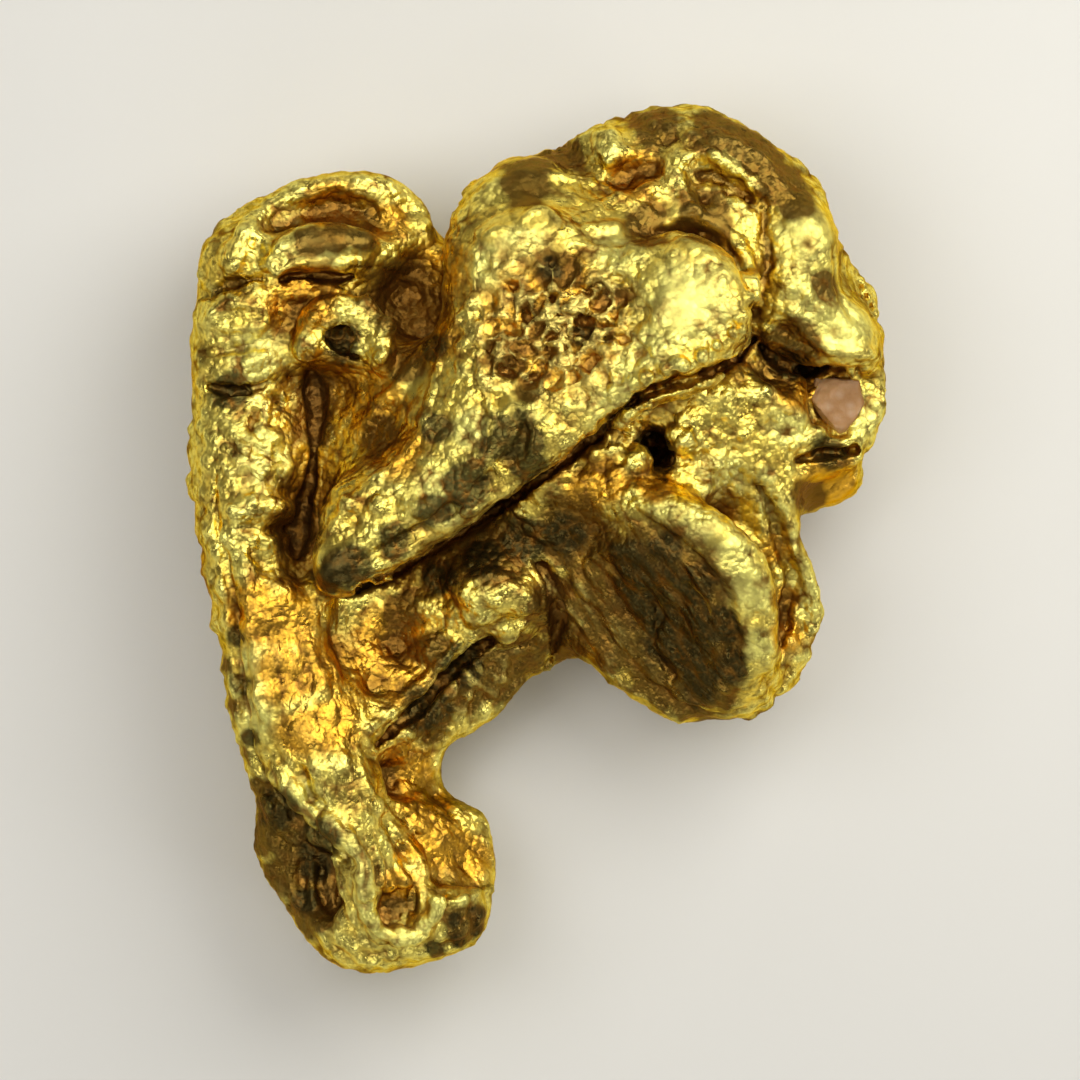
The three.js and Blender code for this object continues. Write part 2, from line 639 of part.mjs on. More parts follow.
function meshOf(distance, low, high, inside) {
  const { vertices, quads } = surfaceOf(distance, low, high, inside);
  let places = vertices.map((vertex) => settle(distance, vertex));
  for (let round = 0; round < RELAX_ROUNDS; round++) places = relaxed(distance, places, quads);
  const onLand = (z) => (Math.abs(z) < LAND_SNAP ? 0 : z);
  places = places.map(([x, y, z]) => [x, y, onLand(z)]);
  const gap = (p, q) => Math.hypot(...places[p].map((value, axis) => value - places[q][axis]));
  const indices = quads.flatMap(([a, b, c, d]) => {
    const shorterAcross = gap(a, c) < gap(b, d);
    return shorterAcross ? [a, b, c, a, c, d] : [b, c, d, b, d, a];
  });
  const geometry = new THREE.BufferGeometry();
  geometry.setAttribute("position", new THREE.Float32BufferAttribute(places.flat(), 3));
  geometry.setIndex(indices);
  return geometry;
}

// An irregular grain of quartz: a ball with knobs on it, broken off flat in a few places.
function grainGeometry() {
  const ball = new THREE.IcosahedronGeometry(1, 3);
  ball.deleteAttribute("normal");
  ball.deleteAttribute("uv");
  const geometry = mergeVertices(ball, 1e-4);
  const breaks = GRAIN_BREAKS.map(([x, y, z, reach]) => [new THREE.Vector3(x, y, z).normalize(), reach]);
  const place = new THREE.Vector3();
  const { position } = geometry.attributes;
  for (let i = 0; i < position.count; i++) {
    place.fromBufferAttribute(position, i);
    const knobs = 0.04 * Math.sin(5 * place.x + 2) + 0.03 * Math.sin(6 * place.y + 4 * place.z);
    place.multiplyScalar(0.94 + knobs);
    for (const [towards, reach] of breaks) {
      const over = place.dot(towards) - reach;
      if (over > 0) place.addScaledVector(towards, -0.9 * over);
    }
    place.set(place.x * GRAIN.size[0], place.y * GRAIN.size[1], place.z * GRAIN.size[2]);
    position.setXYZ(i, place.x + GRAIN.centre[0], place.y + GRAIN.centre[1], place.z + GRAIN.centre[2]);
  }
  return geometry;
}

const low = [-WIDTH / 2 - MARGIN, -LENGTH / 2 - MARGIN, -MARGIN];
const high = [WIDTH / 2 + MARGIN, LENGTH / 2 + MARGIN, THICKNESS + MARGIN];
const nuggetGeometry = meshOf(gold, low, high, IN_THE_ARM);
const quartzGeometry = grainGeometry();

// The origin is on the resting plane, under the middle of the nugget's own length and width.
nuggetGeometry.computeBoundingBox();
const middle = nuggetGeometry.boundingBox.getCenter(new THREE.Vector3());
const span = nuggetGeometry.boundingBox.getSize(new THREE.Vector3());
const fit = new THREE.Matrix4().makeScale(WIDTH / span.x, LENGTH / span.y, THICKNESS / span.z);
fit.multiply(new THREE.Matrix4().makeTranslation(-middle.x, -middle.y, 0));
for (const geometry of [nuggetGeometry, quartzGeometry]) {
  geometry.applyMatrix4(fit);
  geometry.computeVertexNormals();
}

const goldMaterial = new THREE.MeshStandardMaterial({ color: 0xd9a93a, metalness: 1, roughness: 0.35 });
const nugget = new THREE.Mesh(nuggetGeometry, goldMaterial);
nugget.name = "gold_nugget";

const quartzMaterial = new THREE.MeshStandardMaterial({ color: 0xb08c6a, metalness: 0, roughness: 0.7 });
const quartz = new THREE.Mesh(quartzGeometry, quartzMaterial);
quartz.name = "quartz_grain";

const object = new THREE.Group();
object.add(nugget);
object.add(quartz);

export default object;
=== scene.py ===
"""The looks of a natural gold nugget with a grain of quartz caught in its hooked edge.

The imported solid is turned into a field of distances, and its facets are smoothed away. The folds, lips,
cracks and pits of the gold are worked into the field, which becomes one fine mesh again, and the gold's
grain is worked into the mesh. Lengths are in working units, 18 to the nugget's length, unless a comment
says metres."""
import math

import bmesh
import bpy
import numpy as np
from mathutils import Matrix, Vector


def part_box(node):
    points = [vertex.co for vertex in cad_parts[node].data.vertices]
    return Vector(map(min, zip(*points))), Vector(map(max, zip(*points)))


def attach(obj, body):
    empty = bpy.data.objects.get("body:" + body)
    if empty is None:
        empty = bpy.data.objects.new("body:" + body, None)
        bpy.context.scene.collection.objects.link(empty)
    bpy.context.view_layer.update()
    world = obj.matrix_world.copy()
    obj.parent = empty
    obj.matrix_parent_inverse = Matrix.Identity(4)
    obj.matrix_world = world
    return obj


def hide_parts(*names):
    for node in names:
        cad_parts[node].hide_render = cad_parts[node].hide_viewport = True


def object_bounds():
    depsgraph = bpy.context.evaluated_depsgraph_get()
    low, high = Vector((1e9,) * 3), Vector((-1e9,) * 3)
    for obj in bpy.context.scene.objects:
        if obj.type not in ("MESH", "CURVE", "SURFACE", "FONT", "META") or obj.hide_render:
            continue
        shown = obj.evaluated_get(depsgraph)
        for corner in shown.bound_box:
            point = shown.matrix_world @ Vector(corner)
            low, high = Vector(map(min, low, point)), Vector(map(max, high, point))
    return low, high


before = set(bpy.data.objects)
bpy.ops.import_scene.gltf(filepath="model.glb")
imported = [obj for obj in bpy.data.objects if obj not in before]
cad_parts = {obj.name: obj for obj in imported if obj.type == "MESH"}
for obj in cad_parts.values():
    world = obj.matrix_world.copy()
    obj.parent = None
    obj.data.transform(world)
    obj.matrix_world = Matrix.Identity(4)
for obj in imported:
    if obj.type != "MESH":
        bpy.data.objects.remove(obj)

import openvdb
from mathutils import Vector, noise

CAD_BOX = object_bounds()
UNIT = (CAD_BOX[1][1] - CAD_BOX[0][1]) / 18  # metres
VOXEL = 0.1
ROOM = 0.8  # empty room round the solid in the field
BAND = 12.0  # voxels on each side of the solid's surface with true distances
FAR = 9.0  # more than any distance that is compared with it
NOISE_GAIN = 2.2  # brings smoothed random values back to about -1 to 1
BEAD_STEP = 0.15  # how closely beads are strung along a curve
SUNK = 0.35  # the share of its radius by which the middle of a lip's or a boss's bead lies deeper
SEAM_REACH = 0.25  # how far from a seam the lower side of its step is looked for
FACET_BLUR = 0.14  # smooths the solid's facets away
CREASE_WIDTH = 0.12  # of the creases down the sides, in the values of the noise that they follow
SEED = 41

# Features that follow the surface seen from above: a kind, how far the feature lies above the surface, how
# softly it melts in, and its beads [x, y, radius]. A lip stands proud along its beads and a boss at each
# bead; a crack is cut along them, and a pit at each one. A seam is a slot along the foot of a step, open
# upwards. A rib has beads [x, y, z, radius] at heights of their own, and no lift.
CAP = {
    "rim": ("lip", 0.05, 0.15, [
        [-6.4, 5.7, 0.25], [-6, 6.5, 0.28], [-5.4, 7, 0.3], [-4.6, 7.3, 0.3], [-3.8, 7.35, 0.3],
        [-3.1, 7.2, 0.28], [-2.6, 6.8, 0.26], [-2.4, 6.4, 0.22]]),
    "hollow behind the rim": ("crack", 0.02, 0.15, [
        [-5.4, 6.6, 0.2], [-4.9, 6.85, 0.27], [-4.2, 6.95, 0.28], [-3.6, 6.85, 0.28], [-3.2, 6.5, 0.24]]),
    "fold": ("lip", 0.12, 0.15, [[-5.5, 5.8, 0.25], [-5, 6.1, 0.36], [-4.3, 6.2, 0.4], [-3.7, 6.15, 0.34]]),
    "fold's lip": ("lip", 0.1, 0.05, [
        [-5.5, 5.55, 0.1], [-5.1, 5.75, 0.13], [-4.6, 5.8, 0.14], [-4.1, 5.75, 0.14], [-3.7, 5.8, 0.11]]),
    "slit under the fold": ("seam", -0.1, 0.03, [
        [-5.4, 5.4, 0.08], [-5.1, 5.5, 0.11], [-4.7, 5.5, 0.13], [-4.3, 5.45, 0.11], [-3.9, 5.5, 0.07]]),
    "wrinkle below the slit": ("lip", 0.03, 0.08, [[-5.3, 5.1, 0.1], [-4.7, 5.15, 0.12], [-4.1, 5.1, 0.1]]),
    "knob": ("lip", 0.1, 0.15, [
        [-4.85, 3.95, 0.28], [-4.75, 4.5, 0.3], [-4.3, 4.75, 0.32], [-3.7, 4.65, 0.32], [-3.35, 4.25, 0.3],
        [-3.3, 3.7, 0.28]]),
    "knob's lumps": ("boss", 0.05, 0.08, [
        [-4.7, 4.6, 0.18], [-4.2, 4.95, 0.16], [-3.6, 4.9, 0.18], [-3.2, 4.4, 0.2], [-3.3, 3.8, 0.2],
        [-4.4, 4.5, 0.15]]),
    "knob's hole": ("pit", -0.35, 0.05, [[-4.1, 4.2, 0.34], [-4.4, 4.3, 0.2], [-3.85, 4, 0.26]]),
    "pit beside the knob": ("pit", -0.05, 0.05, [[-4.85, 3.85, 0.13]]),
    "pocket": ("pit", 0.2, 0.3, [[-2.8, 5.1, 0.45], [-2.55, 5.6, 0.3], [-2.45, 4.4, 0.25]]),
    "pinhole": ("pit", -0.2, 0.04, [[-2.9, 4.9, 0.11]]),
}
KNUCKLES = {
    "upper groove": ("crack", -0.06, 0.06, [[-7, 5.1, 0.14], [-6.4, 5.3, 0.15], [-5.8, 5.45, 0.12]]),
    "upper pits": ("pit", 0, 0.05, [[-5.9, 6.15, 0.12], [-6.1, 5.8, 0.1], [-6.4, 5.5, 0.08]]),
    "eyelet": ("lip", 0.04, 0.06, [
        [-6.85, 4.65, 0.09], [-6.5, 4.9, 0.1], [-6, 4.9, 0.1], [-5.6, 4.7, 0.09], [-5.8, 4.45, 0.09],
        [-6.3, 4.4, 0.09], [-6.8, 4.5, 0.08]]),
    "middle groove": ("crack", 0, 0.08, [[-7, 3.9, 0.09], [-6.4, 3.95, 0.12], [-5.8, 4, 0.09]]),
    "lower groove": ("crack", -0.1, 0.05, [
        [-6.9, 3.2, 0.12], [-6.5, 3.1, 0.17], [-6, 3.15, 0.14], [-5.7, 3.3, 0.08]]),
}
ARM = {
    "cleft": ("crack", -0.12, 0.08, [
        [-4.8, 3.5, 0.12], [-4.7, 3.1, 0.25], [-4.65, 2.6, 0.22], [-4.7, 2, 0.13], [-4.75, 1.35, 0.16],
        [-4.9, 0.75, 0.2], [-5, 0.2, 0.25], [-5.1, -0.3, 0.2]]),
    "knob": ("lip", 0.05, 0.1, [[-6.3, 0.6, 0.22], [-5.85, 0.7, 0.26], [-5.35, 0.65, 0.22]]),
    "gap under the knob": ("crack", 0, 0.08, [[-6.2, 0.25, 0.08], [-5.65, 0.2, 0.13], [-5.2, 0.25, 0.12]]),
    "hollow below": ("pit", 0.2, 0.25, [[-5.65, -0.45, 0.4]]),
    "edge line": ("crack", -0.08, 0.05, [
        [-6.7, 1.6, 0.06], [-6.7, 0.35, 0.09], [-6.45, -0.8, 0.14], [-6.3, -1.8, 0.16],
        [-6.25, -2.75, 0.16], [-6.15, -3.6, 0.16], [-5.95, -4.5, 0.15], [-5.65, -5.1, 0.12]]),
    "edge lip": ("lip", 0.04, 0.08, [
        [-6.15, -0.4, 0.13], [-6, -1.2, 0.16], [-5.95, -2, 0.15], [-5.9, -2.9, 0.14], [-5.75, -3.7, 0.12]]),
    "left furrow": ("crack", 0, 0.05, [[-5.35, -1.8, 0.05], [-5.45, -2.75, 0.07], [-5.15, -3.65, 0.05]]),
    "right furrow": ("crack", 0, 0.05, [[-4.8, -2.45, 0.05], [-4.75, -3.35, 0.07], [-4.35, -4.15, 0.05]]),
    "lumps": ("boss", -0.03, 0.08, [
        [-6.3, 2.6, 0.2], [-5.8, 2.7, 0.22], [-5.5, 2.1, 0.2], [-6.2, 1.9, 0.22], [-5.7, 1.4, 0.2],
        [-5.3, 1.5, 0.18]]),
    "pits": ("pit", 0, 0.05, [[-6, 2.3, 0.12], [-5.5, 1.75, 0.12], [-6.3, 1.3, 0.12], [-5.5, 2.9, 0.1]]),
}
TONGUE = {
    "long wrinkle of the flank": ("crack", 0, 0.06, [
        [-4.3, 1.55, 0.05], [-3.7, 2.15, 0.08], [-3.05, 2.8, 0.08], [-2.45, 3.45, 0.05]]),
    "low wrinkle of the flank": ("crack", 0, 0.06, [
        [-4.2, 0.9, 0.05], [-3.4, 1.4, 0.08], [-2.75, 1.85, 0.08], [-2.35, 2.5, 0.05]]),
    "roll on the flank": ("lip", 0, 0.1, [
        [-3.8, 2, 0.14], [-3.4, 2.65, 0.16], [-2.85, 3.3, 0.14], [-2.45, 3.9, 0.1]]),
    "left rim": ("lip", 0, 0.1, [
        [-1.25, 6.3, 0.12], [-1.35, 5.1, 0.12], [-1.9, 4.15, 0.13], [-2.2, 2.95, 0.13], [-2.75, 1.75, 0.14],
        [-3.55, 1, 0.14], [-4.35, 0.2, 0.12]]),
    "tip": ("boss", -0.28, 0.12, [[-4.2, -0.6, 0.45]]),
    "tip's thin wall": ("lip", -0.2, 0.05, [
        [-4.7, 0.2, 0.08], [-4.8, -0.45, 0.1], [-4.6, -1.05, 0.1], [-4.2, -1.3, 0.09], [-3.8, -1.45, 0.07]]),
    "trough along the edge": ("crack", -0.03, 0.08, [
        [-3.6, -0.4, 0.14], [-2.65, 0.1, 0.17], [-1.9, 0.55, 0.18], [-1.2, 1.15, 0.2], [-0.5, 1.8, 0.2],
        [-0.3, 2.4, 0.14]]),
    "lumps along the edge": ("boss", 0.04, 0.06, [
        [-4, 0.7, 0.2], [-3.3, 0.7, 0.22], [-2.5, 0.65, 0.22], [-1.6, 0.95, 0.2], [-0.75, 1.45, 0.18],
        [-3.1, 0.15, 0.14], [-2.2, 0.3, 0.13], [-1.5, 0.6, 0.12]]),
    "seam below the edge": ("seam", -0.15, 0.03, [
        [-3.8, -1, 0.08], [-2.65, -0.45, 0.1], [-1.5, 0.25, 0.11], [-0.5, 0.9, 0.12], [-0.1, 1.2, 0.12],
        [0.45, 1.6, 0.12], [1.1, 2.15, 0.13], [1.65, 2.65, 0.12], [2.35, 3.1, 0.13], [3.2, 3.35, 0.14],
        [3.95, 3.7, 0.14], [4.45, 4.2, 0.11]]),
    "inner ridge": ("lip", 0, 0.08, [
        [1.85, 6.1, 0.09], [1.75, 5.25, 0.1], [1.85, 4.8, 0.1], [1.55, 3.95, 0.1], [1.25, 3.4, 0.1],
        [0.25, 2.95, 0.1], [-0.65, 2.7, 0.09]]),
    "lobe's rim": ("lip", 0, 0.08, [
        [1.5, 3.05, 0.1], [2.1, 3.3, 0.12], [2.75, 3.55, 0.13], [3.35, 3.8, 0.14], [3.9, 4.15, 0.14],
        [4.2, 4.5, 0.13], [4.35, 5.25, 0.12], [4.2, 5.8, 0.12], [3.85, 6.2, 0.1]]),
    "scallops": ("boss", 0.12, 0.06, [
        [2.2, 3.35, 0.15], [2.6, 3.5, 0.13], [2.95, 3.62, 0.16], [3.35, 3.8, 0.14], [3.65, 4, 0.16],
        [3.95, 4.25, 0.15], [4.15, 4.6, 0.15], [4.3, 5, 0.14]]),
    "notches between the scallops": ("pit", 0, 0.04, [
        [2.4, 3.4, 0.1], [2.78, 3.52, 0.1], [3.15, 3.68, 0.1], [3.5, 3.86, 0.1], [3.82, 4.1, 0.1],
        [4.08, 4.42, 0.1]]),
    "boss on the lobe": ("boss", -0.25, 0.1, [[3.85, 4.95, 0.38]]),
    "ribbon": ("lip", 0, 0.1, [
        [1, 6.45, 0.12], [1.55, 6.45, 0.17], [2.3, 6.55, 0.2], [2.9, 6.7, 0.2], [3.5, 6.6, 0.2],
        [4.05, 6.15, 0.2], [4.35, 5.6, 0.18], [4.45, 4.9, 0.14]]),
    "crack beside the ribbon": ("crack", -0.03, 0.04, [
        [1.2, 6.1, 0.06], [1.9, 6.15, 0.07], [2.55, 6.4, 0.07], [3.3, 6.4, 0.07], [3.85, 6.1, 0.08],
        [4.2, 5.5, 0.08], [4.4, 4.8, 0.07]]),
    "shoulder loop": ("lip", 0.03, 0.06, [
        [-0.35, 6.65, 0.08], [0.05, 6.85, 0.09], [0.35, 6.6, 0.09], [0.3, 6.3, 0.08], [-0.05, 6.15, 0.08],
        [-0.3, 6.4, 0.08]]),
    "patch rim": ("lip", 0.03, 0.06, [
        [-1.15, 6.3, 0.07], [-0.65, 6.45, 0.08], [-0.35, 6.15, 0.08], [-0.55, 5.7, 0.08], [-1, 5.45, 0.07]]),
    "long rim of the net": ("lip", 0.03, 0.05, [
        [-0.5, 3.7, 0.07], [0, 4.25, 0.08], [0.55, 4.45, 0.08], [1.2, 4.25, 0.08], [1.7, 4.35, 0.07]]),
    "upper rim of the net": ("lip", 0.03, 0.05, [[0.45, 5.15, 0.07], [1.1, 5.45, 0.08], [1.8, 5.7, 0.08]]),
    "middle rim of the net": ("lip", 0.03, 0.05, [
        [-0.3, 5, 0.07], [0.15, 4.8, 0.08], [0.7, 4.8, 0.08], [1.25, 4.7, 0.07]]),
    "lower rim of the net": ("lip", 0.03, 0.05, [[0.15, 4.25, 0.07], [0.35, 3.7, 0.08], [1, 3.4, 0.07]]),
    "pits of the net": ("pit", -0.02, 0.05, [
        [0.1, 4.05, 0.17], [0.3, 5.7, 0.14], [-0.2, 4.6, 0.15], [1.35, 4.1, 0.16], [-0.7, 3.6, 0.15],
        [1.45, 5.05, 0.14], [0.6, 4.15, 0.13], [-1.1, 3.9, 0.14], [0.9, 5.15, 0.14], [0.95, 4.65, 0.11],
        [0.2, 5, 0.12], [-0.5, 5.2, 0.13], [0.65, 3.6, 0.12], [1.2, 3.7, 0.1], [0.75, 5.95, 0.12],
        [-0.2, 3.3, 0.13]]),
}
CROWN = {
    "lump": ("lip", -0.05, 0.12, [[1, 8.2, 0.3], [1.35, 8.3, 0.35], [1.55, 7.85, 0.25]]),
    "valley": ("crack", 0.05, 0.2, [
        [1.45, 7.4, 0.22], [2, 7.7, 0.3], [2.45, 7.8, 0.24], [2.65, 8.35, 0.15]]),
    "fan's edge": ("lip", -0.02, 0.1, [
        [0.15, 7.6, 0.12], [0.9, 7.4, 0.14], [1.65, 7.1, 0.14], [2.3, 6.8, 0.1]]),
    "ridge": ("lip", 0, 0.12, [[2.7, 7.9, 0.16], [2.85, 7.35, 0.18], [3.2, 6.85, 0.14]]),
    "worm-like fold": ("lip", 0.06, 0.06, [
        [3, 7.9, 0.13], [3.4, 8.1, 0.15], [3.85, 7.8, 0.16], [4.3, 7.55, 0.15], [4.6, 7.2, 0.12]]),
    "crack under the fold": ("crack", -0.03, 0.05, [
        [3.3, 7.6, 0.11], [3.75, 7.45, 0.13], [4.2, 7.2, 0.14], [4.45, 6.9, 0.1]]),
    "pits": ("pit", -0.04, 0.05, [
        [3.45, 7.1, 0.14], [3.9, 7.15, 0.11], [4.3, 7.05, 0.12], [3.15, 7.3, 0.09]]),
    "outer arc": ("lip", 0, 0.1, [[4, 8.3, 0.14], [4.55, 7.9, 0.15], [5.05, 7.35, 0.13]]),
    "lumps of the fan": ("boss", -0.03, 0.08, [
        [0.7, 7.1, 0.16], [1.2, 6.9, 0.15], [1.7, 6.75, 0.14], [2.3, 7.2, 0.16]]),
}
BROW = {
    "crease": ("crack", -0.04, 0.06, [
        [4.65, 7.1, 0.09], [4.65, 6.35, 0.1], [4.75, 5.75, 0.1], [4.55, 5.2, 0.11], [4.5, 4.7, 0.11]]),
    "bulge": ("boss", -0.3, 0.2, [[5.45, 6.55, 0.5], [5.6, 6, 0.4]]),
    "outer groove": ("crack", 0, 0.08, [[6.1, 5.9, 0.08], [6.15, 5.25, 0.1], [6.5, 4.6, 0.09]]),
    "lumps": ("boss", -0.03, 0.08, [[5.1, 5.3, 0.2], [5.5, 5.1, 0.22], [5.3, 4.8, 0.2], [5.8, 4.8, 0.2]]),
    "throat crack": ("seam", -0.15, 0.04, [
        [4.5, 4.15, 0.1], [4.85, 3.8, 0.14], [5.4, 3.55, 0.15], [6, 3.55, 0.12], [6.6, 3.55, 0.08]]),
    "throat": ("pit", 0.12, 0.2, [[5.1, 4.25, 0.3], [5.5, 3.95, 0.25]]),
    "lobe's edge": ("lip", 0.04, 0.07, [
        [5.6, 4.25, 0.12], [6.05, 3.95, 0.14], [6.6, 3.9, 0.14], [7, 3.85, 0.1]]),
}
HOOK = {
    "ring": ("lip", 0.08, 0.06, [
        [7.05, 3.5, 0.12], [7.08, 2.85, 0.14], [6.85, 2.4, 0.15], [6.4, 2.25, 0.15], [5.75, 2.2, 0.15],
        [5.2, 1.95, 0.11]]),
    "gap under the ring": ("seam", -0.15, 0.04, [
        [5.35, 1.65, 0.1], [5.85, 1.8, 0.14], [6.4, 1.85, 0.14], [6.85, 2, 0.09]]),
}
SADDLE = {
    "sides of the hole": ("boss", 0.1, 0.1, [[2, 1.6, 0.36], [2.95, 2.15, 0.32]]),
    "hole": ("pit", -0.25, 0.06, [[2.25, 2.2, 0.2], [2.5, 1.85, 0.2], [2.75, 1.6, 0.24]]),
    "pinhole": ("pit", -0.05, 0.04, [[3, 2.35, 0.1]]),
    "lumps": ("boss", -0.04, 0.08, [
        [1.15, 1.75, 0.22], [1.55, 1.3, 0.24], [2, 1.05, 0.2], [3.65, 1.6, 0.25], [4.1, 1.1, 0.24],
        [3.4, 1.1, 0.2], [4.65, 3.05, 0.22], [5.1, 2.8, 0.2], [3.75, 2.95, 0.2], [3.3, 2.6, 0.16],
        [4.2, 2.2, 0.2]]),
    "pits": ("pit", 0, 0.05, [
        [0.8, 1.5, 0.13], [1.75, 1.65, 0.12], [3.1, 1.65, 0.12], [4, 1.85, 0.11], [1.75, 2.2, 0.12],
        [4.4, 2.6, 0.12], [0.2, 0.7, 0.12], [3.75, 2.4, 0.12], [4.8, 2.4, 0.1]]),
}
PAW = {
    "ridge": ("lip", -0.1, 0.15, [
        [2.35, 0.75, 0.25], [3.15, 0.4, 0.4], [3.9, -0.1, 0.45], [4.35, -0.85, 0.45], [4.55, -1.7, 0.42],
        [4.6, -2.5, 0.3]]),
    "foot of the ridge": ("crack", 0, 0.06, [
        [2, 0.5, 0.1], [2.5, 0.1, 0.15], [3.15, -0.35, 0.2], [3.65, -1, 0.22], [3.95, -1.8, 0.22],
        [4.05, -2.6, 0.16]]),
    "outer rim": ("rib", 0, 0.08, [
        [4.35, 1.65, 3.9, 0.13], [4.9, 1.05, 3.8, 0.16], [5.2, 0.2, 3.7, 0.17], [5.55, -0.75, 3.4, 0.18],
        [5.7, -1.45, 3.15, 0.18], [5.5, -2.3, 2.95, 0.17], [5.15, -3, 2.7, 0.14]]),
    "gully": ("crack", -0.12, 0.06, [
        [4.5, 1.25, 0.1], [4.85, 0.5, 0.15], [5.05, -0.15, 0.16], [5.25, -0.8, 0.17], [5.15, -1.35, 0.16],
        [5.05, -2, 0.15], [5, -2.6, 0.1]]),
    "bottom rim": ("lip", 0, 0.06, [
        [1.3, -2.9, 0.09], [2, -3.15, 0.11], [2.6, -3.5, 0.12], [3.15, -3.8, 0.12], [3.85, -3.9, 0.12],
        [4.6, -3.7, 0.12], [5.05, -3.3, 0.1]]),
    "line inside the rim": ("crack", 0, 0.05, [
        [1.85, -2.85, 0.07], [2.55, -3.2, 0.09], [3.15, -3.5, 0.09], [3.85, -3.6, 0.09], [4.45, -3.4, 0.07]]),
    "crest of the face": ("lip", 0, 0.08, [
        [0.65, -1.1, 0.09], [0.8, -0.6, 0.1], [1.2, -0.3, 0.11], [1.85, -0.2, 0.09]]),
    "first streak": ("crack", -0.02, 0.06, [[1.45, -0.85, 0.08], [1.7, -1.35, 0.13], [2, -1.9, 0.08]]),
    "second streak": ("crack", -0.04, 0.06, [[2.25, -1.1, 0.09], [2.45, -1.6, 0.15], [2.35, -2.05, 0.1]]),
    "third streak": ("crack", -0.02, 0.06, [[2.15, -2.1, 0.08], [2.45, -2.45, 0.11], [2.75, -2.85, 0.08]]),
    "fourth streak": ("crack", 0, 0.06, [[0.8, -1.15, 0.06], [1.25, -1.7, 0.09], [1.7, -2.4, 0.06]]),
    "fifth streak": ("crack", -0.02, 0.06, [[3, -0.9, 0.07], [3.35, -1.3, 0.11], [3.55, -1.9, 0.08]]),
    "sixth streak": ("crack", 0, 0.06, [[3.05, -1.9, 0.06], [3.4, -2.4, 0.09], [3.8, -2.95, 0.06]]),
    "seventh streak": ("crack", 0, 0.06, [[0.5, -1.75, 0.06], [0.95, -2.3, 0.08], [1.2, -2.65, 0.05]]),
    "long fold": ("lip", 0.02, 0.06, [[2.5, -1.9, 0.08], [2.75, -2.4, 0.09], [3, -2.85, 0.08]]),
    "short fold": ("lip", 0.02, 0.06, [[0.95, -1.95, 0.08], [1.35, -2.5, 0.09]]),
    "crevice": ("crack", -0.15, 0.08, [
        [0, -0.55, 0.12], [0.25, -1, 0.18], [0.4, -1.55, 0.18], [0.3, -2.1, 0.16], [0.15, -2.65, 0.12]]),
}
LEDGE = {
    "valley": ("pit", 0.2, 0.3, [[-3, -2.1, 0.5], [-2.65, -2.75, 0.4], [-3.3, -2.9, 0.4]]),
    "knob": ("boss", -0.05, 0.12, [
        [-1.3, -1.6, 0.28], [-0.75, -1.8, 0.3], [-0.35, -1.35, 0.25], [-0.95, -1.2, 0.22]]),
    "lip": ("lip", 0.08, 0.06, [
        [-3.6, -3.95, 0.12], [-3.15, -3.6, 0.13], [-2.65, -3.2, 0.14], [-2.2, -2.7, 0.14],
        [-1.65, -2.1, 0.13]]),
    "slit": ("seam", -0.2, 0.03, [
        [-3.4, -4.25, 0.1], [-2.95, -3.85, 0.16], [-2.45, -3.4, 0.19], [-2, -2.9, 0.19], [-1.5, -2.4, 0.15],
        [-1, -2.1, 0.1]]),
    "lower slit": ("crack", -0.02, 0.05, [
        [-3.7, -4.3, 0.1], [-3.4, -4.55, 0.12], [-2.9, -4.35, 0.1], [-2.35, -4.15, 0.07]]),
    "line under the knob": ("crack", -0.04, 0.05, [
        [-1.3, -2.45, 0.08], [-0.65, -2.3, 0.12], [-0.1, -2.05, 0.12]]),
    "first wrinkle": ("crack", 0, 0.05, [[-1.5, -2.75, 0.06], [-1.1, -3.1, 0.07], [-1.3, -3.5, 0.06]]),
    "second wrinkle": ("crack", 0, 0.05, [[-0.8, -2.6, 0.06], [-0.6, -2.95, 0.06]]),
    "lumps": ("boss", -0.03, 0.07, [
        [-3.1, -3.95, 0.15], [-2.8, -3.8, 0.13], [-1.9, -3.2, 0.14], [-1.2, -2.8, 0.13]]),
}
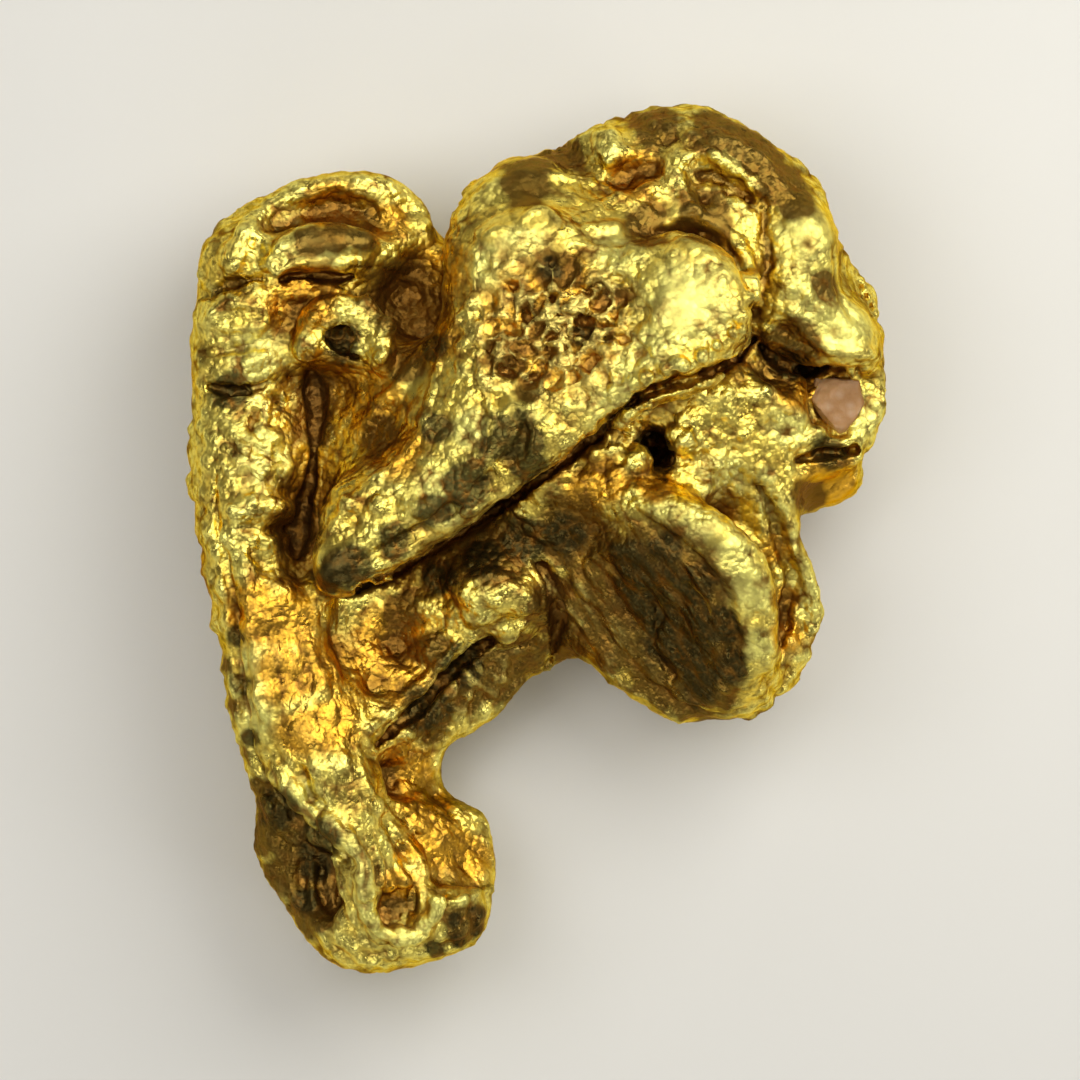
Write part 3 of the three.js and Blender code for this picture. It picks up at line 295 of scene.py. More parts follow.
FOOT = {
    "shin and toe ridge": ("lip", 0.2, 0.08, [
        [-5.5, -4.75, 0.2], [-4.9, -5.5, 0.24], [-4.25, -6, 0.24], [-3.85, -6.5, 0.22], [-3.65, -7.1, 0.22],
        [-3.6, -7.7, 0.22], [-3.3, -8.15, 0.22], [-2.8, -8.25, 0.2], [-2.35, -8, 0.18], [-2.2, -7.6, 0.16]]),
    "right ridge": ("lip", 0.08, 0.08, [
        [-3.75, -4.65, 0.1], [-3.6, -5.2, 0.13], [-3.15, -5.85, 0.15], [-2.7, -6.45, 0.14],
        [-2.45, -7, 0.13]]),
    "crease": ("crack", 0, 0.06, [[-3, -5.55, 0.07], [-2.6, -6.1, 0.08], [-2.25, -6.8, 0.07]]),
    "dark band": ("crack", 0, 0.08, [
        [-5.9, -5.1, 0.15], [-5.35, -5.5, 0.2], [-4.85, -6, 0.22], [-4.25, -6.45, 0.22],
        [-3.95, -6.8, 0.17]]),
    "left dish": ("pit", 0.25, 0.15, [[-4.6, -6.9, 0.5], [-4.5, -7.4, 0.5]]),
    "left streak of the dish": ("lip", 0.05, 0.05, [
        [-4.75, -6.75, 0.07], [-4.75, -7.2, 0.1], [-4.6, -7.7, 0.07]]),
    "right streak of the dish": ("lip", 0.05, 0.05, [
        [-4.4, -6.7, 0.06], [-4.35, -7.1, 0.09], [-4.3, -7.6, 0.06]]),
    "dish's rim": ("lip", 0.04, 0.06, [
        [-5.15, -6.5, 0.1], [-5.15, -7.2, 0.11], [-4.9, -7.75, 0.11], [-4.4, -8.15, 0.1]]),
    "toe dish": ("pit", 0.16, 0.1, [[-3, -7.65, 0.42], [-2.7, -7.55, 0.42]]),
    "front rim": ("lip", 0.08, 0.06, [
        [-2.2, -7.5, 0.11], [-1.7, -7.5, 0.11], [-1.1, -7.3, 0.11], [-0.75, -7.2, 0.09]]),
    "front streaks": ("crack", 0, 0.04, [[-1.9, -7.7, 0.05], [-1.85, -8.2, 0.07]]),
    "more front streaks": ("crack", 0, 0.04, [[-1.4, -7.6, 0.05], [-1.4, -8.1, 0.07]]),
    "upper slope line": ("crack", 0, 0.05, [
        [-2.3, -5.2, 0.05], [-1.85, -5.75, 0.07], [-1.4, -6.25, 0.07], [-0.95, -6.9, 0.05]]),
    "lower slope line": ("crack", 0, 0.05, [[-2.2, -5.9, 0.05], [-1.9, -6.4, 0.07], [-1.6, -6.9, 0.05]]),
    "heel hollow": ("pit", 0.3, 0.2, [[-2.95, -4.95, 0.5]]),
    "heel lumps": ("boss", -0.03, 0.07, [
        [-2.85, -5.15, 0.15], [-2.5, -5.4, 0.14], [-2.3, -5.8, 0.16], [-2.0, -6.1, 0.14],
        [-2.6, -4.8, 0.13]]),
}
REGIONS = (CAP, KNUCKLES, ARM, TONGUE, CROWN, BROW, HOOK, SADDLE, PAW, LEDGE, FOOT)

# Where the gold's skin differs from its common grain, its stains, and the light and shade painted on it,
# as spots [x, y, radius] in plan.
SMOOTH = [
    [-0.3, 7.2, 1.1], [-0.9, 6.2, 0.5], [1.6, 6.5, 0.5], [2.6, 6.7, 0.5], [3.6, 6.5, 0.6], [4.3, 5.6, 0.5],
    [-4.5, 6.2, 0.8], [-3.7, 6.3, 0.6], [5.6, 6.5, 0.9], [6.3, 4.3, 0.9], [2.9, 5, 0.9], [-0.5, 2.9, 0.6],
    [3.7, 0, 0.5], [4.3, -1, 0.5], [-4.3, -0.5, 0.6], [6, 1, 0.8], [-2.7, 3.3, 0.6],
]
NETTED = [
    [0.2, 4.5, 2.2], [0.9, 4.9, 1.8], [-0.5, 4.2, 1.6], [-0.6, 3.4, 1.2], [-6, 2.9, 0.9], [-5.9, 1.6, 0.9],
    [3.2, 1.7, 0.9], [1.6, 2.1, 0.7],
]
STREAKED_LENGTHWISE = [
    [-5.2, -3, 1.8], [-4.6, -5.4, 2], [-3.4, -7.6, 2.2], [-2, -7.6, 1.5], [-4.2, -1.6, 1.2],
]
STREAKED_ASLANT = [[2.2, -1.6, 2.4], [3.2, -2.8, 1.6], [1, -1, 1.4], [-1.2, -3, 1.2]]
# Painted highlights: pale gold along the ridges, rims and lobes that catch the light.
PAINTED_HIGHLIGHT_SPOTS = [
    [3.1, 4.9, 1.5], [1.3, 3.4, 1.2], [5.4, 6.2, 1], [5.6, 5, 0.9], [6.3, 4.4, 0.9], [4.2, -0.9, 0.8],
    [4.5, -2.2, 0.6], [2.5, 0.7, 0.5], [3.3, 0.35, 0.7], [4, -0.3, 0.7], [4.4, -1.2, 0.7], [4.6, -2.2, 0.6],
    [4.7, 1.3, 0.35], [5, 0.6, 0.35], [5.25, 0, 0.35], [5.45, -0.7, 0.35], [5.6, -1.4, 0.35],
    [5.4, -2.3, 0.4], [3.8, 1.3, 0.9], [5.2, 2.4, 0.8], [-0.3, 5.9, 1], [1.5, 5.9, 0.8], [-5.9, 3.8, 0.9],
    [-5.7, 1.7, 1], [-4.3, -6, 0.45], [-3.9, -6.5, 0.45], [-3.7, -7.1, 0.4], [-3.6, -7.7, 0.4],
    [-3.3, -8.1, 0.4], [-2.8, -8.25, 0.4], [-2.35, -8, 0.35], [-2.2, -7.6, 0.3], [-4.4, 5.75, 0.5],
    [-6, -2.5, 0.5], [-5.9, -3.7, 0.6], [-2, 0.8, 1], [-1.5, 2.3, 0.7], [-1, 5.6, 0.8], [2.2, 4, 0.8],
    [4.8, 0.8, 0.5], [5.5, -1, 0.6], [6.8, 2.6, 0.7], [-4.9, -5.4, 0.6], [-1.5, -7.4, 0.35],
]
# Amber, mostly in valleys, gullies, dishes and pockets: partly a stain, partly painted warm shade.
AMBER_STAIN_AND_SHADE_SPOTS = [
    [-5.2, -1.6, 0.9], [-4.6, -2.6, 0.9], [-4.3, -3.8, 0.8], [0.2, 4.5, 2], [6, 1, 0.8], [-3.1, -2.1, 1.1],
    [-2.8, -3, 0.8], [-2.8, -4.9, 0.9], [-4.4, 3.4, 0.8], [-4.8, 5.1, 0.9], [-2.3, 4.2, 0.9], [2, 7.6, 0.7],
    [6, 1.2, 0.9], [5.3, 3.1, 0.6], [1.4, 1.2, 0.6], [5.1, -1.2, 0.4], [5.15, -2, 0.5], [4.9, -0.2, 0.35],
    [-5.9, -1.5, 0.9], [-5.3, -2.8, 0.9], [-5, -4, 0.7], [-3.4, -2.6, 0.9], [-2.4, -5.6, 0.8],
    [-5.3, 4.9, 0.5], [-2.9, -7.2, 0.5], [-2.2, -6.3, 0.9], [-1.5, -6.7, 0.7], [-3.5, 2.8, 1.1],
    [-3, 1.9, 0.8], [6.2, 0.8, 0.8], [2.4, 1.2, 0.6], [0.9, 0.9, 0.6], [0.9, -2.4, 0.6], [-4.3, 6.9, 0.8],
    [-3.2, 6.6, 0.6], [-2, 5.6, 0.8], [-5, 0.3, 0.7], [-3.6, 3, 0.7],
]
# Umber: partly a stain, partly painted shade and dark reflection, as on the paw's face.
UMBER_STAIN_AND_SHADE_SPOTS = [
    [-2.8, 5, 1], [-4.7, 2.4, 0.6], [-5, 0.2, 0.7], [0.3, -1.4, 0.8], [5.2, 4, 0.8], [-4.2, -0.6, 0.55],
    [2.2, -1.3, 2.2], [3, -2.6, 1.6], [-0.3, 7.4, 0.7], [3.4, 6.7, 0.8], [2.2, 6.5, 0.6], [-1, -0.2, 1],
    [0.6, 0.2, 1], [-0.9, -2.8, 0.9], [5, 7.4, 0.6], [0.2, 4.1, 0.6], [1.2, 4.2, 0.35], [-0.6, 3.6, 0.35],
    [0.5, 5.5, 0.45], [1.4, 5, 0.3], [-0.3, 5, 0.35], [5.6, 0.9, 0.5], [-6.8, -2.6, 0.5], [-6.7, -3.6, 0.5],
    [-6.4, -4.6, 0.5], [3, -1, 1], [3.5, -2.3, 1], [2.4, 8.6, 0.7], [3.6, 8.5, 0.6], [4.6, 8, 0.6],
    [-5.3, -6, 0.6], [-5, -6.9, 0.8], [-4.6, -7.7, 0.6], [-5.9, -5.3, 0.6], [-5.9, -6.2, 0.6],
    [-5.6, -7.2, 0.6], [-5.1, -8, 0.6], [-2.9, -1.5, 0.5], [-2.3, -2.3, 0.5], [-4.7, 3, 0.6],
    [0.3, 4.4, 0.8], [-0.7, 3.8, 0.6], [1.3, 5.1, 0.5], [0.3, 5.6, 0.6], [-0.2, 3.1, 0.4], [-3.3, 2.2, 0.5],
    [-2.8, 3.6, 0.5], [-4.65, -7.1, 0.6], [-2, -0.5, 0.7], [1.4, -0.3, 0.8], [0.6, -2.2, 0.6],
    [-1.6, -3.1, 0.7], [-0.3, -2.4, 0.6], [-2.3, -3.8, 0.6], [4.2, 8.3, 0.6], [5.3, 7, 0.5], [0.2, 8, 0.6],
    [-4.8, 6.2, 0.45], [-4.2, 6.35, 0.45], [-3.7, 6.3, 0.4], [-1.5, -8, 0.6], [0.6, 8, 0.4],
    [5.9, 5.3, 0.4],
]
# Near black: partly a stain, partly painted shadow along seams, the tongue's edge and the ridge's foot.
BLACK_STAIN_AND_SHADOW_SPOTS = [
    [-1.2, -0.4, 0.6], [-0.3, 0, 0.7], [0.5, 0.1, 0.6], [-2.1, -0.8, 0.5], [-6.3, -2, 0.3], [-6.2, -3, 0.3],
    [-6, -4.1, 0.3], [-2.2, 4, 0.4], [-2.1, 2.3, 0.45], [0.9, 4.2, 0.35], [0.2, 5.6, 0.35],
    [-4.7, -6.9, 0.45], [-1.75, -7.9, 0.22], [-1.7, -8.3, 0.22], [-1.35, -7.8, 0.22], [-1.3, -8.15, 0.22],
    [-0.95, -7.6, 0.2], [-2.2, -8.5, 0.25], [-4.1, 4.1, 0.55], [-6.5, 3.1, 0.55], [-0.5, 2.1, 0.9],
    [-0.2, 1.6, 0.5], [-1.5, 1.2, 0.7], [-2.2, 0.6, 0.5], [-3, 0, 0.5], [-3.9, -0.6, 0.7],
    [-4.4, -0.8, 0.5], [6, 1.85, 0.5], [-4.6, -6.3, 0.6], [-5.4, -5.6, 0.6], [-2.4, -3.5, 0.7],
    [-1.6, -2.6, 0.6], [2.6, -0.2, 0.5], [3.2, -0.9, 0.6], [3.7, -1.8, 0.6], [3.95, -2.6, 0.5],
    [2.3, -1, 1], [2.9, -2, 1.1], [1.9, -0.4, 0.6], [3.3, -3, 0.6], [-4.8, -7.5, 0.4], [5.2, 3.7, 0.5],
]


# ----------------------------------------
# The field

def corners_and_triangles(name):
    """A CAD node's corners in working units, and its triangles."""
    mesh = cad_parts[name].data
    mesh.calc_loop_triangles()
    places = np.empty(3 * len(mesh.vertices), np.float32)
    mesh.vertices.foreach_get("co", places)
    triangles = np.empty(3 * len(mesh.loop_triangles), np.int32)
    mesh.loop_triangles.foreach_get("vertices", triangles)
    places, same = np.unique((places.reshape(-1, 3) / UNIT).round(4), axis=0, return_inverse=True)
    return places.astype(np.float32), same.reshape(-1)[triangles].reshape(-1, 3).astype(np.uint32)


def blurred(values, radius):
    """values after a Gaussian blur, cut off at 2.5 times its standard deviation, which is radius."""
    sigma = radius / VOXEL
    reach = max(1, math.ceil(2.5 * sigma))
    weights = np.exp(-0.5 * (np.arange(-reach, reach + 1) / sigma) ** 2)
    weights = (weights / weights.sum()).astype(np.float32)
    for axis in range(3):
        padded = np.pad(values, [(reach, reach) if a == axis else (0, 0) for a in range(3)], mode="edge")
        padded = np.moveaxis(padded, axis, 0)
        length = values.shape[axis]
        total = sum(weight * padded[i : i + length] for i, weight in enumerate(weights))
        values = np.moveaxis(total, 0, axis)
    return np.ascontiguousarray(values)


def melt(a, b, k):
    """The smaller of two distances, with a fillet of size k where they are close."""
    h = np.maximum(k - np.abs(a - b), 0) / k
    return np.minimum(a, b) - h * h * k / 4


def strung(beads):
    """Beads closely spaced along a smooth curve through the given ones."""
    beads = np.array(beads, float)
    padded = np.vstack([2 * beads[0] - beads[1], beads, 2 * beads[-1] - beads[-2]])
    out = []
    for a, b, c, d in zip(padded, padded[1:], padded[2:], padded[3:]):
        steps = max(2, math.ceil(np.linalg.norm((c - b)[:-1]) / BEAD_STEP))
        t = np.arange(0, 1, 1 / steps)[:, None]
        curve = 2 * b + (c - a) * t + (2 * a - 5 * b + 4 * c - d) * t**2 + (3 * b - a - 3 * c + d) * t**3
        out.append(0.5 * curve)
    return np.vstack(out + [beads[-1:]])


class Field:
    """Distances on a regular grid: negative inside the gold, positive outside."""

    def __init__(self, name):
        places, triangles = corners_and_triangles(name)
        self.transform = openvdb.createLinearTransform(voxelSize=VOXEL)
        grid = openvdb.FloatGrid.createLevelSetFromPolygons(
            places, triangles=triangles, transform=self.transform, halfWidth=BAND
        )
        self.first = np.floor((places.min(0) - ROOM) / VOXEL).astype(int)
        last = np.ceil((places.max(0) + ROOM) / VOXEL).astype(int)
        self.d = np.empty(tuple(last - self.first + 1), np.float32)
        grid.copyToArray(self.d, ijk=tuple(int(i) for i in self.first))
        self.axes = [VOXEL * (self.first[a] + np.arange(self.d.shape[a])) for a in range(3)]
        self.top = None

    def look_down(self):
        """Notes the height of the gold's upper surface over each column of the field."""
        inside = self.d < 0
        last = np.minimum(inside.shape[2] - 1 - np.argmax(inside[:, :, ::-1], axis=2), inside.shape[2] - 2)
        i, j = np.indices(last.shape)
        below, above = self.d[i, j, last], self.d[i, j, last + 1]
        share = np.clip(below / np.minimum(below - above, -1e-6), 0, 1)
        self.top = np.where(inside.any(2), self.axes[2][last] + VOXEL * share, np.nan)

    def beneath(self):
        """0 down to 0.6 below the upper surface, then growing to 1 at 1.4 below it, and 1 beside the gold."""
        top = np.where(np.isnan(self.top), self.axes[2][-1], self.top)
        return np.clip((top[:, :, None] - self.axes[2] - 0.6) / 0.8, 0, 1)

    def height(self, x, y):
        """The upper surface's height at some places, as last noted, or nan outside the gold."""
        i = np.clip((x / VOXEL - self.first[0]).round().astype(int), 0, self.top.shape[0] - 1)
        j = np.clip((y / VOXEL - self.first[1]).round().astype(int), 0, self.top.shape[1] - 1)
        return self.top[i, j]

    def sample(self, values, places):
        """The values of an array on the field's grid at some places, between its points."""
        at = np.clip(places / VOXEL - self.first, 0, np.array(values.shape) - 1.001)
        base = np.floor(at).astype(int)
        t = at - base
        out = np.zeros(len(places))
        for corner in range(8):
            step = np.array([corner & 1, corner >> 1 & 1, corner >> 2 & 1])
            i, j, k = (base + step).T
            out += np.prod(np.where(step, t, 1 - t), axis=1) * values[i, j, k]
        return out

    def noise(self, spacing, seed):
        """Smooth random values of about -1 to 1, in lumps about spacing across."""
        random = np.random.default_rng(SEED + seed)
        counts = [int((self.axes[a][-1] - self.axes[a][0]) / spacing) + 5 for a in range(3)]
        values = random.uniform(-1, 1, counts)
        for axis in range(3):
            at = (self.axes[axis] - self.axes[axis][0]) / spacing + 1
            base = np.floor(at).astype(int)
            t = at - base
            shares = [(1 - t) ** 3, 3 * t**3 - 6 * t**2 + 4, -3 * t**3 + 3 * t**2 + 3 * t + 1, t**3]
            weights = np.zeros((len(at), counts[axis]))
            for i, share in enumerate(shares):
                weights[np.arange(len(at)), base - 1 + i] += share / 6
            values = np.moveaxis(np.tensordot(weights, np.moveaxis(values, axis, 0), 1), 0, axis)
        return (NOISE_GAIN * values).astype(np.float32)

    def tube(self, beads, soft, cut):
        """Adds round beads [x, y, z, radius], joined by cones, to the gold, or cuts them out."""
        beads = np.asarray(beads, float)
        wide = beads[:, 3].max() + soft + 2 * VOXEL
        where = []
        for axis in range(3):
            start, stop = np.searchsorted(
                self.axes[axis], [beads[:, axis].min() - wide, beads[:, axis].max() + wide]
            )
            where.append(slice(int(start), int(max(start + 1, stop))))
        where = tuple(where)
        x, y, z = np.meshgrid(*(self.axes[a][where[a]] for a in range(3)), indexing="ij", sparse=True)
        least = np.full(self.d[where].shape, FAR, np.float32)
        for a, b in zip(beads, beads[1:]) if len(beads) > 1 else [(beads[0], beads[0])]:
            span = b[:3] - a[:3]
            square = span @ span
            px, py, pz = x - a[0], y - a[1], z - a[2]
            along = np.clip((px * span[0] + py * span[1] + pz * span[2]) / square, 0, 1) if square else 0
            gap = np.sqrt(
                (px - along * span[0]) ** 2 + (py - along * span[1]) ** 2 + (pz - along * span[2]) ** 2
            )
            least = np.minimum(least, gap - (a[3] + along * (b[3] - a[3])))
        self.d[where] = -melt(-self.d[where], least, soft) if cut else melt(self.d[where], least, soft)

    def work(self, kind, lift, soft, beads):
        """Works one feature into the gold."""
        if kind == "rib":
            self.tube(strung(beads), soft, False)
            return
        path = np.array(beads, float) if kind in ("boss", "pit") else strung(beads)
        heights = self.height(path[:, 0], path[:, 1])
        if kind == "seam":  # cut from just under the foot of the step up to its top
            turns = np.arange(0, 2 * math.pi, math.pi / 4)
            around = [(SEAM_REACH * math.cos(turn), SEAM_REACH * math.sin(turn)) for turn in turns]
            levels = [self.height(path[:, 0] + dx, path[:, 1] + dy) for dx, dy in around]
            feet = np.min([*levels, heights], axis=0)
            for (x, y, radius), foot, top in zip(path, feet, heights):
                if not math.isnan(foot):
                    self.tube([[x, y, foot + lift, radius], [x, y, top, radius]], soft, True)
            return
        known = ~np.isnan(heights)
        path, heights = path[known], heights[known]
        if kind not in ("boss", "pit"):
            padded = np.pad(heights, 2, mode="edge")  # so that no older pit or lump bends the line
            heights = np.array([np.median(padded[i : i + 5]) for i in range(len(heights))])
        heights += lift - (SUNK * path[:, 2] if kind in ("lip", "boss") else 0)
        path = np.column_stack([path[:, :2], heights, path[:, 2]])
        for part in np.split(path, len(path)) if kind in ("boss", "pit") else [path]:
            self.tube(part, soft, kind not in ("lip", "boss"))

    def surface(self):
        """The surface as corners, and arrays of the corners of its quads and triangles."""
        grid = openvdb.FloatGrid(float(self.d.max()))
        grid.copyFromArray(np.ascontiguousarray(self.d), ijk=tuple(int(i) for i in self.first))
        grid.transform = self.transform
        places, triangles, quads = grid.convertToPolygons(isovalue=0, adaptivity=0)
        return places, [quads.astype(int), triangles.astype(int)]


def largest_piece(places, faces):
    """The corners and faces of the largest of the mesh's separate pieces."""
    ends = np.concatenate([np.column_stack([f.ravel(), np.roll(f, 1, axis=1).ravel()]) for f in faces])
    label = np.arange(len(places))
    while True:
        least = label.copy()
        np.minimum.at(least, ends[:, 0], label[ends[:, 1]])
        np.minimum.at(least, ends[:, 1], label[ends[:, 0]])
        least = least[least]
        if (least == label).all():
            break
        label = least
    kept = label == np.bincount(label).argmax()
    number = np.cumsum(kept) - 1
    return places[kept], [number[f[kept[f[:, 0]]]] for f in faces if len(f)]


def mesh_of(name, places, faces):
    """A mesh, shaded smooth, from its corners in metres and the numbers of its faces' corners."""
    mesh = bpy.data.meshes.new(name)
    mesh.vertices.add(len(places))
    mesh.vertices.foreach_set("co", np.asarray(places, np.float32).ravel())
    mesh.loops.add(sum(f.size for f in faces))
    mesh.loops.foreach_set("vertex_index", np.concatenate([f.ravel() for f in faces]).astype(np.int32))
    sizes = np.concatenate([np.full(len(f), f.shape[1], np.int32) for f in faces])
    mesh.polygons.add(len(sizes))
    mesh.polygons.foreach_set("loop_start", np.concatenate([[0], np.cumsum(sizes)[:-1]]).astype(np.int32))
    mesh.polygons.foreach_set("use_smooth", np.ones(len(sizes), bool))
    mesh.update(calc_edges=True)
    mesh.validate()
    return mesh


def corner_normals(mesh):
    normals = np.empty(3 * len(mesh.vertices), np.float32)
    mesh.vertices.foreach_get("normal", normals)
    return normals.reshape(-1, 3)


def note(mesh, name, values):
    """Keeps a value at each corner of a mesh, for its material."""
    mesh.attributes.new(name, "FLOAT", "POINT").data.foreach_set("value", np.asarray(values, np.float32))


# ----------------------------------------
# Grain, worked into the fine mesh's corners

TILT = np.array(Vector((1, 0.6, 0.3)).rotation_difference(Vector((0, 0, 1))).to_matrix())
CELL_FACTORS = np.array([73856093, 19349663, 83492791])  # mix a cell's place into a number
SEED_FACTOR = 7919
LARGEST_RANDOM = 2**31 - 1
RANDOM_FACTOR = 48271


def cells(places, spacing, seed, turn=None, stretch=1.0):
    """Distances to the nearest and the second nearest of scattered points, in units of their spacing. With
    a turn, in degrees from +X, the points lie stretch times further apart along it."""
    axes = TILT
    if turn is not None:
        c, s = math.cos(math.radians(turn)), math.sin(math.radians(turn))
        axes = np.array([[c, -s, 0], [s, c, 0], [0, 0, 1]])
    turned = places @ axes / (spacing * np.array([stretch, 1, 1]))
    home = np.floor(turned).astype(np.int64)
    nearest, second = np.full(len(places), FAR), np.full(len(places), FAR)
    for step in np.ndindex(3, 3, 3):
        cell = home + np.array(step) - 1
        mixed = (cell @ CELL_FACTORS + SEED_FACTOR * (SEED + seed)) % LARGEST_RANDOM
        point = cell.astype(float)
        for axis in range(3):
            mixed = (mixed * RANDOM_FACTOR + 11) % LARGEST_RANDOM
            point[:, axis] += mixed / LARGEST_RANDOM
        gap = np.linalg.norm(turned - point, axis=1)
        second = np.minimum(second, np.maximum(nearest, gap))
        nearest = np.minimum(nearest, gap)
    return nearest, second


def domes(near):
    """Rounded lumps of height 1, lowered to an average near 0, from the distances to their middles."""
    return np.clip(1 - (near / 0.8) ** 2, 0, 1) - 0.45


def within(places, spots):
    """How far inside the nearest of some spots [x, y, radius] each place is in plan: 1 round the spot's
    middle, and 0 outside."""
    share = np.zeros(len(places))
    for x, y, radius in spots:
        gap = np.hypot(places[:, 0] - x, places[:, 1] - y) / radius
        share = np.maximum(share, np.clip(1.6 - 1.6 * gap, 0, 1))
    return share


def grained(places, normals, smooth):
    """How far the gold's grain moves each place along its normal, and the places after it."""
    bent = np.column_stack([gold.sample(gold.noise(0.9, seed), places) for seed in (11, 12, 13)])
    loose = places + 0.2 * bent
    strength = 0.9 + 0.5 * gold.sample(gold.noise(1.4, 14), places)
    coarse, fine = cells(loose, spacing=0.46, seed=1)[0], cells(loose, spacing=0.3, seed=2)[0]
    grain = 0.06 * domes(coarse) + 0.055 * domes(fine)
    along = cells(loose, spacing=0.3, seed=3, turn=90, stretch=2.2)[0]
    grain += within(places, STREAKED_LENGTHWISE) * (0.15 * domes(along) - 0.8 * grain)
    slanted = cells(loose, spacing=0.3, seed=4, turn=-58, stretch=2.6)[0]
    grain += within(places, STREAKED_ASLANT) * (0.14 * domes(slanted) - 0.8 * grain)
    nearest, second = cells(loose, spacing=0.44, seed=5)
    rims = np.exp(-(((second - nearest) / 0.22) ** 2))  # between the cells of the net
    uneven = np.clip(0.8 + 0.5 * gold.sample(gold.noise(0.8, 15), places), 0, 1)
    grain += within(places, NETTED) * uneven * (0.25 * (rims - 0.4) - 0.5 * grain)
    grain *= strength * (1 - 0.7 * smooth)
    return grain, places + grain[:, None] * normals


# ----------------------------------------
# The gold

def add_object(name, mesh):
    made = bpy.data.objects.new(name, mesh)
    bpy.context.scene.collection.objects.link(made)
    return made


GRAIN_LOW, GRAIN_HIGH = (np.array(corner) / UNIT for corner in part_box("quartz_grain"))
GRAIN_MIDDLE = (GRAIN_LOW + GRAIN_HIGH) / 2 + [0.1, 0.05, 0.1]  # of the grain as it shows in the gold


def creased(spacing, seed):
    """1 along winding lines about spacing apart, and 0 away from them."""
    return np.exp(-((gold.noise(spacing, seed) / CREASE_WIDTH) ** 2))


gold = Field("gold_nugget")
gold.d = blurred(gold.d, FACET_BLUR)
gold.d += 0.13 * gold.noise(1.5, 1) + 0.07 * gold.noise(0.75, 2)
gold.look_down()
gold.d += gold.beneath() * (0.16 * gold.noise(0.9, 4) + 0.17 * (creased(2.2, 5) + 0.7 * creased(1.2, 6)))
gold.look_down()
for region in REGIONS:
    for kind, lift, soft, beads in region.values():
        gold.work(kind, lift, soft, beads)
        gold.look_down()
# The mound that holds the quartz grain, and the pocket in it, which widens upwards.
gold.tube([[*(GRAIN_MIDDLE - [0, 0, 0.35]), 0.75]], 0.25, False)
gold.tube([[*(GRAIN_MIDDLE + [0, 0, 0.1]), 0.5], [*(GRAIN_MIDDLE + [0, 0, 0.6]), 0.6]], 0.05, True)
gold.d += 0.04 * gold.noise(0.42, 3)


def stains_and_painted_light(spots, seed):
    """How strongly a mark lies at each place: in its spots on the upper side, and in random patches
    elsewhere. The marks are stains, painted highlights and painted shade."""
    upper = np.clip((normals[:, 2] - 0.05) / 0.35, 0, 1)
    patches = np.clip(0.9 * gold.sample(gold.noise(1.3, seed), places) - 0.2, 0, 1)
    return upper * within(places, spots) + (1 - upper) * patches


places, faces = largest_piece(*gold.surface())
nugget_mesh = mesh_of("gold", places * UNIT, faces)
normals = corner_normals(nugget_mesh)
share = np.clip(0.5 - gold.d / (2 * VOXEL), 0, 1)
hollow = 0.4 * gold.sample(blurred(share, 0.35), places + 0.25 * normals)
hollow += 0.6 * gold.sample(blurred(share, 0.9), places + 0.6 * normals)
relief = gold.sample(blurred(gold.d, 0.3), places)
smooth = within(places, SMOOTH)
grain, grainy = grained(places, normals, smooth)
grainy[:, 2] = np.maximum(grainy[:, 2], 0)
nugget_mesh.vertices.foreach_set("co", (grainy * UNIT).astype(np.float32).ravel())
nugget_mesh.update()
note(nugget_mesh, "hollow", hollow)  # the share of gold round each place, just above the surface
note(nugget_mesh, "relief", relief)  # above 0 on crests and below 0 in creases
note(nugget_mesh, "grain", grain)
note(nugget_mesh, "smooth", smooth)
note(nugget_mesh, "lengthwise", within(places, STREAKED_LENGTHWISE))
note(nugget_mesh, "aslant", within(places, STREAKED_ASLANT))
# The pale marks are painted highlights; the amber, umber and near-black ones are partly stains, partly
# painted shade.
for name, spots, seed in (
    ("pale", PAINTED_HIGHLIGHT_SPOTS, 21), ("amber", AMBER_STAIN_AND_SHADE_SPOTS, 22), ("umber", UMBER_STAIN_AND_SHADE_SPOTS, 23), ("black_stain_and_shadow", BLACK_STAIN_AND_SHADOW_SPOTS, 24)
):
    note(nugget_mesh, name, stains_and_painted_light(spots, seed))
nugget = add_object("gold", nugget_mesh)
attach(nugget, "root")
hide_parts("gold_nugget")


# ----------------------------------------
# The quartz grain: a ball broken off flat on a few sides, set deep in the hook

BREAKS = [  # the way that each broken side faces, and its distance from the middle of a ball of radius 1
    ([0.05, 1, 0.1], 0.66), ([-1, 0.15, 0.1], 0.78), ([1, 0.2, 0.1], 0.76), ([-0.75, -0.65, 0.1], 0.62),
    ([0.85, -0.55, 0.1], 0.74), ([0.05, 0.1, 1], 0.55), ([-0.4, 0.5, 0.8], 0.66),
]
GRAIN_RADII = (0.68, 0.7, 0.5)


def quartz_mesh():
    mesh = bpy.data.meshes.new("quartz")
    ball = bmesh.new()
    bmesh.ops.create_icosphere(ball, subdivisions=5, radius=1)
    for corner in ball.verts:
        place = corner.co.copy()
        for towards, reach in BREAKS:
            towards = Vector(towards).normalized()
            over = place.dot(towards) - reach
            if over > 0:
                place -= 0.85 * over * towards  # nearly flat, so that the edges stay a little round
        place *= 1 + 0.05 * noise.fractal(2.5 * place, 0.6, 2.1, 5)
        place = Vector([r * p for r, p in zip(GRAIN_RADII, place)]) + Vector(GRAIN_MIDDLE)
        corner.co = place * UNIT
    ball.to_mesh(mesh)
    ball.free()
    mesh.polygons.foreach_set("use_smooth", [True] * len(mesh.polygons))
    return mesh


quartz = add_object("quartz", quartz_mesh())
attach(quartz, "root")
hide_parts("quartz_grain")


# ----------------------------------------
# Materials

